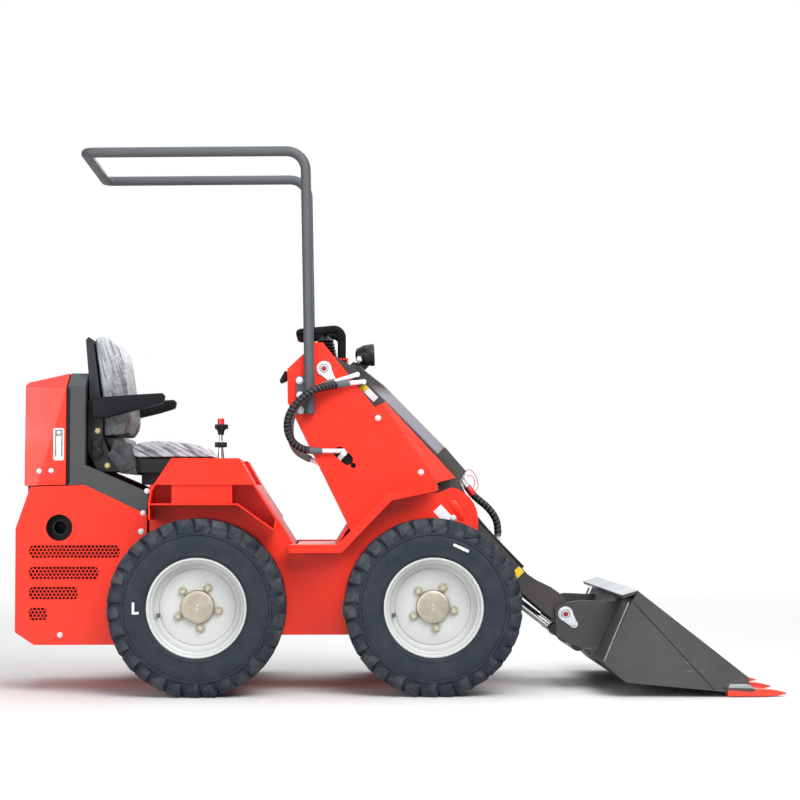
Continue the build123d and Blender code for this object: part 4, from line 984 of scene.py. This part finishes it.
class LOADER_OT_side_lever(bpy.types.Operator):
    """Turn the side lever with its knurled collar, star knob and button"""
    bl_idname = "loader.side_lever"
    bl_label = "Side lever"

    def execute(self, context):
        work = bmesh.new()
        base = mm(*LEVER_AT)
        turned(work, LEVER_STEM, base, UP, 32)
        with painted(work, 1):
            for height, radius, depth, waves, deep, steps, rounding in LEVER_GRIPS:
                place = Matrix.Translation(base + mm(0, 0, height))
                verts = disc(work, radius, radius, depth, waves * steps, place)
                for vert in verts:
                    out = Vector((vert.co.x - base.x, vert.co.y - base.y))
                    share = 1.0 + deep / radius * math.cos(math.atan2(out.y, out.x) * waves)
                    vert.co.x, vert.co.y = base.x + out.x * share, base.y + out.y * share
                rims = {edge for vert in verts for edge in vert.link_edges
                        if abs(edge.verts[0].co.z - edge.verts[1].co.z) < 1e-6}
                rounded(work, list(rims), rounding, 3)
            turned(work, LEVER_CONE, base, UP, 28)
        with painted(work, 2):
            turned(work, LEVER_BUTTON, base, UP, 28)
        finished("side_lever_turned", work, ["hard_chrome_rod", "black_moulded_plastic", "red_plastic"],
                 "chassis", stands_for="side_lever")
        return {"FINISHED"}


SHELF_TOP = 1123
BOOT_X, BOOT_SPACING = -236, 95
# ribs of a boot: number, first radius, how much narrower and higher each is than the one below
BOOT_RIBS, BOOT_RADIUS, BOOT_TAPER, BOOT_PITCH = 6, 42, 2.4, 11.3
# radius and height of a rib's corners, from its own radius and foot
BOOT_RIB = [(-8, 0.5), (-1.5, 3), (0, 5.5), (-2, 8.5), (-8, 11)]
KNOB_RADIUS, KNOB_HEIGHT = 13, 94
# plug in the tower's rear edge: outline, faces, rounding
TOWER_PLUG = ([(-390, 1040), (-384, 1030), (-362, 1040), (-362, 1072), (-372, 1074)], -250, -282, 4)


class LOADER_OT_levers(bpy.types.Operator):
    """Mould the ribbed boots, levers and knobs on the tower's shelf"""
    bl_idname = "loader.levers"
    bl_label = "Control levers"

    def execute(self, context):
        work = bmesh.new()
        profile = [(0, 0), (43, 0), (43, 2.5)]
        for rib in range(BOOT_RIBS):
            radius, foot = BOOT_RADIUS - rib * BOOT_TAPER, 2.5 + rib * BOOT_PITCH
            profile += [(radius + out, foot + up) for out, up in BOOT_RIB]
        profile += [(20, 73), (12, 78), (5.5, 80), (5.5, 86)]
        for turn in range(30, 181, 15):
            angle = math.radians(turn)
            profile.append((KNOB_RADIUS * math.sin(angle), KNOB_HEIGHT - KNOB_RADIUS * math.cos(angle)))
        for index in (-1, 0, 1):
            turned(work, profile, mm(BOOT_X, index * BOOT_SPACING, SHELF_TOP), UP, 40)
        finished("levers_booted", work, ["black_rubber_and_painted_shade"], "chassis",
                 stands_for="control_levers")
        work = bmesh.new()
        slab(work, *TOWER_PLUG)
        finished("tower_plug", work, ["black_rubber_and_painted_shade"], "chassis")
        return {"FINISHED"}


LAMP, LAMP_AXIS = (-102, -222, 1130), (1, 0, 0.05)
# radius, distance forward of the middle: back of the dome, drum with its front ring, and lens
LAMP_BACK = [(0, -32), (12, -31), (20, -27)]
LAMP_DRUM = [(36, 6), (36.5, 20), (38, 21), (38, 30), (36, 33), (31, 33), (30, 29)]
LAMP_LENS = [(30, 29), (20, 31), (0, 32)]
# one cooling rib of the dome, from its own radius and place, and how the ribs follow
LAMP_RIB, LAMP_RIBS, LAMP_RIB_STEP = [(1.6, 0), (2.4, 3), (0.6, 3.6), (1.8, 6.4)], 4, (3.2, 7)


class LOADER_OT_lamp(bpy.types.Operator):
    """Assemble the round work lamp"""
    bl_idname = "loader.lamp"
    bl_label = "Work lamp"

    def execute(self, context):
        work = bmesh.new()
        x, y, z = LAMP
        dome = list(LAMP_BACK)
        for rib in range(LAMP_RIBS):
            radius, start = 23 + rib * LAMP_RIB_STEP[0], -26 + rib * LAMP_RIB_STEP[1]
            dome += [(radius + out, start + on) for out, on in LAMP_RIB]
        turned(work, dome + LAMP_DRUM, mm(*LAMP), LAMP_AXIS, 48)
        with painted(work, 1):
            turned(work, LAMP_LENS, mm(*LAMP), LAMP_AXIS, 48)
        slab(work, [arm(52, 90.5), arm(98, 98), (x + 20, z - 30), (x - 16, z - 28)], y - 6, y + 6, 1)
        with painted(work, 2):
            bolt(work, mm(x - 18, y - 26, z - 14), (0, -1, 0), 13)
        finished("work_lamp_assembled", work, ["black_moulded_plastic", "lamp_lens", "zinc_plate"], "arms",
                 stands_for="work_lamp")
        return {"FINISHED"}


LABEL = 0.8
NOSE_LABEL = [(128, 600), (153, 624), (192, 583), (167, 560)]
NOSE_STIFFENER = [(178, 637), (202, 639), (242, 589), (230, 572), (217, 570), (184, 622)]
COUPLER, COUPLER_AXIS = (249, -205, 684), (25, 0, -32)
COUPLER_CAP = [(0, 35), (9, 35), (10.5, 32), (10.5, 10), (8.5, 6), (7.5, 0), (0, 0)]
COUPLER_SLEEVE = [(0, -37), (8, -37), (8, -29), (9.8, -28), (9.8, -3), (9, -1), (0, -1)]
# thin red cords of the caps, looped in the air from the coupler
CAP_CORDS = {
    "outer": [(232, -212, 706), (238, -216, 740), (262, -218, 742), (282, -216, 712), (286, -212, 672),
              (262, -207, 660)],
    "inner": [(234, -200, 704), (250, -196, 726), (272, -194, 716), (276, -198, 690), (262, -203, 668)]}
# steel pipe along the lower arm's top, in the arm's axes
ARM_PIPE, ARM_PIPE_Y = [(720, 17), (760, 12), (900, 10), (950, 10)], -236
CORD_RADIUS, PIPE_RADIUS = 1.3, 5


class LOADER_OT_arm_parts(bpy.types.Operator):
    """Add labels left blank, the nose's stiffeners, the arms' pipe, the coupler's cap and its cords"""
    bl_idname = "loader.arm_parts"
    bl_label = "Arm parts"

    def arm_label(self, work, *place):
        slab(work, [arm(*corner) for corner in box(*place)], -ARM_SIDE, -ARM_SIDE - LABEL)

    def execute(self, context):
        # on the arm's flank, white with a yellow end, and a yellow one low on the arm
        work = bmesh.new()
        self.arm_label(work, 150, 196, 64, 42)
        with painted(work, 1):
            self.arm_label(work, 128, 149, 64, 42)
            self.arm_label(work, 936, 962, 2, -30)
        finished("arm_labels", work, ["white_label_film", "yellow_label_film"], "arms")
        work = bmesh.new()
        slab(work, NOSE_LABEL, -BODY_SIDE, -BODY_SIDE - LABEL)
        finished("nose_label", work, ["white_label_film"], "chassis")
        work = bmesh.new()
        both(work, NOSE_STIFFENER, BODY_SIDE, BODY_SIDE + 3.5, 3)
        finished("nose_stiffeners", work, ["red_powder_coat"], "chassis")
        work = bmesh.new()
        turned(work, COUPLER_CAP, mm(*COUPLER), COUPLER_AXIS, 28)
        # the sleeve is zinc, drawn paler as a painted highlight
        with painted(work, 1):
            turned(work, COUPLER_SLEEVE, mm(*COUPLER), COUPLER_AXIS, 28)
        finished("coupler_cap", work, ["red_plastic", "pale_zinc_painted_bright"], "arms")
        for name, points in CAP_CORDS.items():
            round_wire(f"cap_cord_{name}", points, CORD_RADIUS, "red_wire_skin", "arms")
        pipe = [(x, ARM_PIPE_Y, z) for x, z in (arm(*point) for point in ARM_PIPE)]
        round_wire("arm_pipe", pipe, PIPE_RADIUS, "black_enamel_and_painted_shade", "arms")
        return {"FINISHED"}


# lock plates of the pins: body, pin, small end of the plate, face of the plate from the centre plane
LOCK_PLATES = [("chassis", PIVOT, (-215, 1046), 311), ("bucket", BUCKET_PIN, (603, 221), 275)]
LOCK_SHEET, LOCK_BOLT = 4, (10.5, 4)
# rings on a pin's face, from radius and height: finish, profile, steps
PIN_RINGS = [(0, [(15.5, 0), (15.5, 1.6), (16.5, 2.2), (20, 2.2), (21, 1.4), (21, 0)], 40),
             (0, [(12.6, 0), (12.6, 3.6), (11.6, 4.6), (9.5, 4.6), (8.5, 3.8), (0, 3.8)], 32),
             (1, [(0, 6), (5, 5.6), (7.4, 4.6), (7.8, 3.5)], 32),
             # the two flat dark rings are painted shade in the grooves round the pin and round its cap
             (2, [(12, 0), (12, 0.8), (16, 0.8), (16, 0)], 32),
             (2, [(8, 3), (8, 4.9), (9, 4.9), (9, 3)], 32)]


class LOADER_OT_pin_faces(bpy.types.Operator):
    """Face the pins with their rings, red grease caps and the lock plates' bolts"""
    bl_idname = "loader.pin_faces"
    bl_label = "Pin faces"

    def execute(self, context):
        for body, pin, tail, reach in LOCK_PLATES:
            work = bmesh.new()
            for side in (-1, 1):
                out = (0, side, 0)
                bolt(work, mm(tail[0], side * (reach + LOCK_SHEET), tail[1]), out, *LOCK_BOLT)
                for index, profile, steps in PIN_RINGS:
                    with painted(work, index):
                        turned(work, profile, mm(pin[0], side * reach, pin[1]), out, steps)
            finished(f"pin_faces_{body}", work, ["zinc_plate", "red_grease_cap", "bare_steel_and_painted_groove_shade"], body)
        return {"FINISHED"}


# hoses: route as in the part's source (x, distance outwards from the body's side, z), body, length in metres,
# and the shares of its length between which it is wrapped
HOSES = {
    "tower_hose": ([(-156, 38, 1029), (-206, 54, 1023), (-262, 94, 1009), (-312, 102, 979), (-350, 92, 936),
                    (-364, 72, 890), (-354, 56, 843), (-322, 40, 812), (-283, 28, 803), (-245, 26, 803)],
                   "chassis", 0.465, 0.1, 0.9),
    "return_hose": ([(-204, 30, 1034), (-242, 34, 1021.5), (-284, 69, 998), (-332, 69, 956), (-350, 54, 906),
                     (-353, 28, 856), (-342, 0, 818), (-318, -20, 790), (-285, -28, 776)],
                    "chassis", 0.397, 0.0, 0.0),
    "front_hose": ([(246, -135, 690), (262, -125, 664), (285, -112, 641), (314, -103, 618), (339, -100, 588),
                    (353, -100, 553), (352, -100, 516)],
                   "arms", 0.215, 0.04, 0.96),
}
HOSE_RADIUS = 12
# strands laid side by side make the band of the wrap: number, radius and spacing; then points in one turn
STRANDS, STRAND_RADIUS, STRAND_STEP, TURN_STEPS = 5, 1.5, 2.3, 12


class LOADER_OT_hoses(bpy.types.Operator):
    """Lay the hydraulic hoses and wind their plastic wrap"""
    bl_idname = "loader.hoses"
    bl_label = "Hoses"

    def line_of(self, piece):
        """Points of a hose's own smooth line, in order."""
        thin = piece.data.copy()
        thin.bevel_depth = 0.0
        line = bpy.data.objects.new("line", thin)
        bpy.context.scene.collection.objects.link(line)
        mesh = bpy.data.meshes.new_from_object(line.evaluated_get(bpy.context.evaluated_depsgraph_get()))
        points = [vert.co.copy() for vert in mesh.vertices]
        bpy.data.objects.remove(line)
        bpy.data.curves.remove(thin)
        bpy.data.meshes.remove(mesh)
        return points

    def wrap(self, name, line, body, start, end):
        """Band wound round a hose between two shares of its length."""
        lengths = [0.0]
        for before, after in zip(line, line[1:]):
            lengths.append(lengths[-1] + (after - before).length)
        curve = bpy.data.curves.new(name, "CURVE")
        curve.dimensions = "3D"
        curve.bevel_depth = STRAND_RADIUS * MM
        curve.bevel_resolution = 1
        pitch, total = sizes().wrap_pitch, lengths[-1] * (end - start)
        count = int(total / pitch * TURN_STEPS)
        for strand in range(STRANDS):
            winding = curve.splines.new("POLY")
            winding.points.add(count)
            across, index = Vector(UP), 0
            for step in range(count + 1):
                at = lengths[-1] * start + total * step / count
                while index < len(line) - 2 and lengths[index + 1] < at:
                    index += 1
                share = min(1.0, (at - lengths[index]) / (lengths[index + 1] - lengths[index]))
                run = (line[index + 1] - line[index]).normalized()
                across = (across - run * across.dot(run)).normalized()
                angle = math.tau * (step / TURN_STEPS + strand * STRAND_STEP * MM / pitch)
                out = across * math.cos(angle) + run.cross(across) * math.sin(angle)
                centre = line[index].lerp(line[index + 1], share)
                winding.points[step].co = (*(centre + out * (HOSE_RADIUS - 0.5) * MM), 1.0)
        curve.materials.append(bpy.data.materials["wrap_plastic"])
        return placed(name, curve, body)

    def execute(self, context):
        for name, (route, body, length, start, end) in HOSES.items():
            points = [(x, -BODY_SIDE - out, z) for x, out, z in route]
            hose = round_wire(f"{name}_laid", points, HOSE_RADIUS, "hose_rubber", body)
            wraps = [self.wrap(f"{name}_wrap", self.line_of(hose), body, start, end)] if end > start else []
            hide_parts(name)
        return {"FINISHED"}


# side view of a tooth with its shoe round the cutting edge; it narrows from TOOTH_SHOULDER to TOOTH_TIP
TOOTH = [(1074, 3), (1074, 38), (1120, 35), (1165, 27), (1190, 24.5), (1225, 22), (1252, 16.5), (1270, 11.5),
         (1270, 8), (1240, 3.5), (1190, 2)]
TOOTH_SHOULDER, TOOTH_TIP = 1190, 1270
TOOTH_HALF, TIP_HALF = 32, 7
TOOTH_SPACING = 255


class LOADER_OT_teeth(bpy.types.Operator):
    """Forge the bucket's teeth"""
    bl_idname = "loader.teeth"
    bl_label = "Bucket teeth"

    def execute(self, context):
        work = bmesh.new()
        for index in range(-2, 3):
            middle = index * TOOTH_SPACING
            others = set(work.verts)
            slab(work, TOOTH, middle - TOOTH_HALF, middle + TOOTH_HALF, 2.2)
            for vert in work.verts:
                if vert not in others:
                    along = max(0.0, (vert.co.x / MM - TOOTH_SHOULDER) / (TOOTH_TIP - TOOTH_SHOULDER))
                    share = 1.0 - along * (1.0 - TIP_HALF / TOOTH_HALF)
                    vert.co.y = middle * MM + (vert.co.y - middle * MM) * share
        finished("bucket_teeth_forged", work, ["tooth_paint"], "bucket",
                 stands_for="bucket_teeth")
        return {"FINISHED"}


# bead up the bucket's rear corners and bead along the carrier, on the left side
WELDS = {"corner": [(752, 538, 308), (742, 538, 285), (703, 538, 194), (671, 538, 118)],
         "carrier": [(770, 270, 316), (740, 272, 248), (676, 272, 111)]}
# small sheets on the bucket's sides: finish, then outlines with how far they stand out and their rounding
BUCKET_SHEETS = {
    # thin black strip along each side plate's fold: painted shade of the crease
    "bucket_fold_shade_lines": ("black_enamel_and_painted_shade", [([(765.8, 307), (768.2, 309), (1032.2, 24), (1029.8, 22)], 0.7, 0)]),
    "bucket_laps": ("bucket_paint", [
        ([(1057, 30), (1057, 42), (1120, 62), (1143, 63.5), (1143, 34), (1085, 34)], 3, 0.8),
        ([(1066, 26), (1072, 34), (1146, 33), (1164, 25), (1151, 19)], 6.4, 1)]),
    "bucket_wear_bars": ("worn_plate_and_painted_highlight", [
        ([(1074, 31), (1079, 43), (1137, 43), (1150, 36), (1163, 25), (1150, 29)], 7, 1.4)]),
}
# lip along the bucket's top, pale grey for the light on its upward face: painted highlight
LIP_PAINTED_PALE = [(730, 330), (784, 346), (783.6, 347.2), (729.6, 331.2)]
WELD_RADIUS = 3.2


class LOADER_OT_welds(bpy.types.Operator):
    """Run the weld beads of the bucket and its carrier, and dress the bucket's sides"""
    bl_idname = "loader.welds"
    bl_label = "Welds"

    def execute(self, context):
        for side, hand in SIDES:
            for name, points in WELDS.items():
                bead = [(x, side * y, z) for x, y, z in points]
                round_wire(f"weld_{name}_{hand}", bead, WELD_RADIUS, "bare_steel_and_painted_groove_shade", "bucket")
        for name, (finish, sheets) in BUCKET_SHEETS.items():
            work = bmesh.new()
            for outline, out, rounding in sheets:
                both(work, outline, BUCKET_SIDE, BUCKET_SIDE + out, rounding)
            if name == "bucket_wear_bars":
                slab(work, LIP_PAINTED_PALE, 1 - BUCKET_SIDE, BUCKET_SIDE - 1)
            finished(name, work, [finish], "bucket")
        return {"FINISHED"}


WHITE = (1.0, 1.0, 1.0, 1.0)
# cool light of the studio's walls, and its strength
WALLS, WALLS_STRENGTH = (0.86, 0.9, 0.97, 1.0), 0.52
FLOOR_COLOUR, FLOOR_HALF = "#D9D8D6", 60.0
# the floor is plain to the first distance and white from the second, in metres
FLOOR_FADE = (1.6, 7.0)
# soft lamps: name, place, watts, size
LAMPS = [("key", (1.5, -4.5, 4.5), 380, 4.0), ("fill", (-3.65, -5.15, 1.7), 120, 2.4),
         ("top", (0.0, 0.5, 5.5), 150, 5.0), ("back", (1.0, 5.0, 3.5), 120, 4.0)]
LAMPS_AIM = (0, 0, 0.6)


class LOADER_OT_stage(bpy.types.Operator):
    """Set up the pale floor, soft lamps and the photograph's camera"""
    bl_idname = "loader.stage"
    bl_label = "Stage"

    def floor(self):
        """Pale floor that fades to the white of the background away from the loader."""
        work = bmesh.new()
        bmesh.ops.create_grid(work, x_segments=1, y_segments=1, size=FLOOR_HALF)
        mesh = bpy.data.meshes.new("floor")
        work.to_mesh(mesh)
        work.free()
        finish = Finish("pale_floor", 0.9)
        finish.shader.inputs["Base Color"].default_value = linear(FLOOR_COLOUR)
        tree = finish.tree
        far = node(tree, "VectorMath", [(0, finish.place)], operation="LENGTH").outputs["Value"]
        start, end = FLOOR_FADE
        fade = node(tree, "MapRange", [("Value", far), ("From Min", start), ("From Max", end)],
                    interpolation_type="SMOOTHSTEP").outputs[0]
        seen = node(tree, "LightPath").outputs["Is Camera Ray"]
        white = node(tree, "Emission", [("Color", WHITE), ("Strength", 1.0)])
        self.mix(tree, "Material Output", finish.times(fade, seen), finish.shader, white)
        mesh.materials.append(finish.material)
        floor = bpy.data.objects.new("floor", mesh)
        bpy.context.scene.collection.objects.link(floor)

    def mix(self, tree, end, share, first, second):
        """Mix of two shaders as the tree's surface."""
        mixed = node(tree, "MixShader", [(0, share), (1, first.outputs[0]), (2, second.outputs[0])])
        tree.links.new(mixed.outputs[0], tree.nodes[end].inputs["Surface"])

    def execute(self, context):
        scene = context.scene
        self.floor()
        world = bpy.data.worlds.new("studio")
        scene.world = world
        world.use_nodes = True
        tree = world.node_tree
        backdrop = tree.nodes["Background"]
        backdrop.inputs["Color"].default_value = WALLS
        backdrop.inputs["Strength"].default_value = WALLS_STRENGTH
        plain = node(tree, "Background", [("Color", WHITE), ("Strength", 1.0)])
        self.mix(tree, "World Output", node(tree, "LightPath").outputs["Is Camera Ray"], backdrop, plain)

        for name, place, watts, size in LAMPS:
            light = bpy.data.lights.new(name, "AREA")
            light.energy = watts
            light.size = size
            lamp = bpy.data.objects.new(name, light)
            lamp.location = place
            lamp.rotation_euler = (Vector(LAMPS_AIM) - Vector(place)).to_track_quat("-Z", "Y").to_euler()
            scene.collection.objects.link(lamp)

        camera = bpy.data.objects.new("camera", bpy.data.cameras.new("camera"))
        camera.data.lens = CAMERA_LENS
        camera.data.sensor_width = CAMERA_SENSOR
        camera.data.clip_end = 200.0
        camera.location = CAMERA_PLACE
        camera.rotation_euler = Vector(CAMERA_AIM).to_track_quat("-Z", "Y").to_euler()
        scene.collection.objects.link(camera)
        scene.camera = camera
        scene.view_settings.view_transform = "Standard"
        return {"FINISHED"}


OPERATORS = (
    LOADER_OT_paint_frame, LOADER_OT_tyres, LOADER_OT_rims, LOADER_OT_vents, LOADER_OT_hood, LOADER_OT_bolts,
    LOADER_OT_latches, LOADER_OT_seat, LOADER_OT_seat_fittings, LOADER_OT_side_lever, LOADER_OT_levers,
    LOADER_OT_lamp, LOADER_OT_arm_parts, LOADER_OT_pin_faces, LOADER_OT_hoses, LOADER_OT_teeth,
    LOADER_OT_welds, LOADER_OT_stage)


class LOADER_PT_panel(bpy.types.Panel):
    """Lists the loader's pieces and finishes"""
    bl_idname = "LOADER_PT_panel"
    bl_label = "Skid steer loader"
    bl_space_type = "VIEW_3D"
    bl_region_type = "UI"
    bl_category = "Loader"

    def draw(self, context):
        for group in (context.scene.loader_paints, context.scene.loader_sizes):
            column = self.layout.box()
            for name in group.__annotations__:
                column.prop(group, name)
        for operator in OPERATORS:
            self.layout.operator(operator.bl_idname)


CLASSES = (LoaderPaints, LoaderSizes) + OPERATORS + (LOADER_PT_panel,)


def register():
    for cls in CLASSES:
        bpy.utils.register_class(cls)
    bpy.types.Scene.loader_paints = PointerProperty(type=LoaderPaints)
    bpy.types.Scene.loader_sizes = PointerProperty(type=LoaderSizes)


def unregister():
    del bpy.types.Scene.loader_paints
    del bpy.types.Scene.loader_sizes
    for cls in reversed(CLASSES):
        bpy.utils.unregister_class(cls)


def main():
    register()
    bpy.ops.loader.paint_frame()
    bpy.ops.loader.tyres()
    bpy.ops.loader.rims()
    bpy.ops.loader.vents()
    bpy.ops.loader.hood()
    bpy.ops.loader.bolts()
    bpy.ops.loader.latches()
    bpy.ops.loader.seat()
    bpy.ops.loader.seat_fittings()
    bpy.ops.loader.side_lever()
    bpy.ops.loader.levers()
    bpy.ops.loader.lamp()
    bpy.ops.loader.arm_parts()
    bpy.ops.loader.pin_faces()
    bpy.ops.loader.hoses()
    bpy.ops.loader.teeth()
    bpy.ops.loader.welds()
    bpy.ops.loader.stage()


if __name__ == "__main__":
    main()
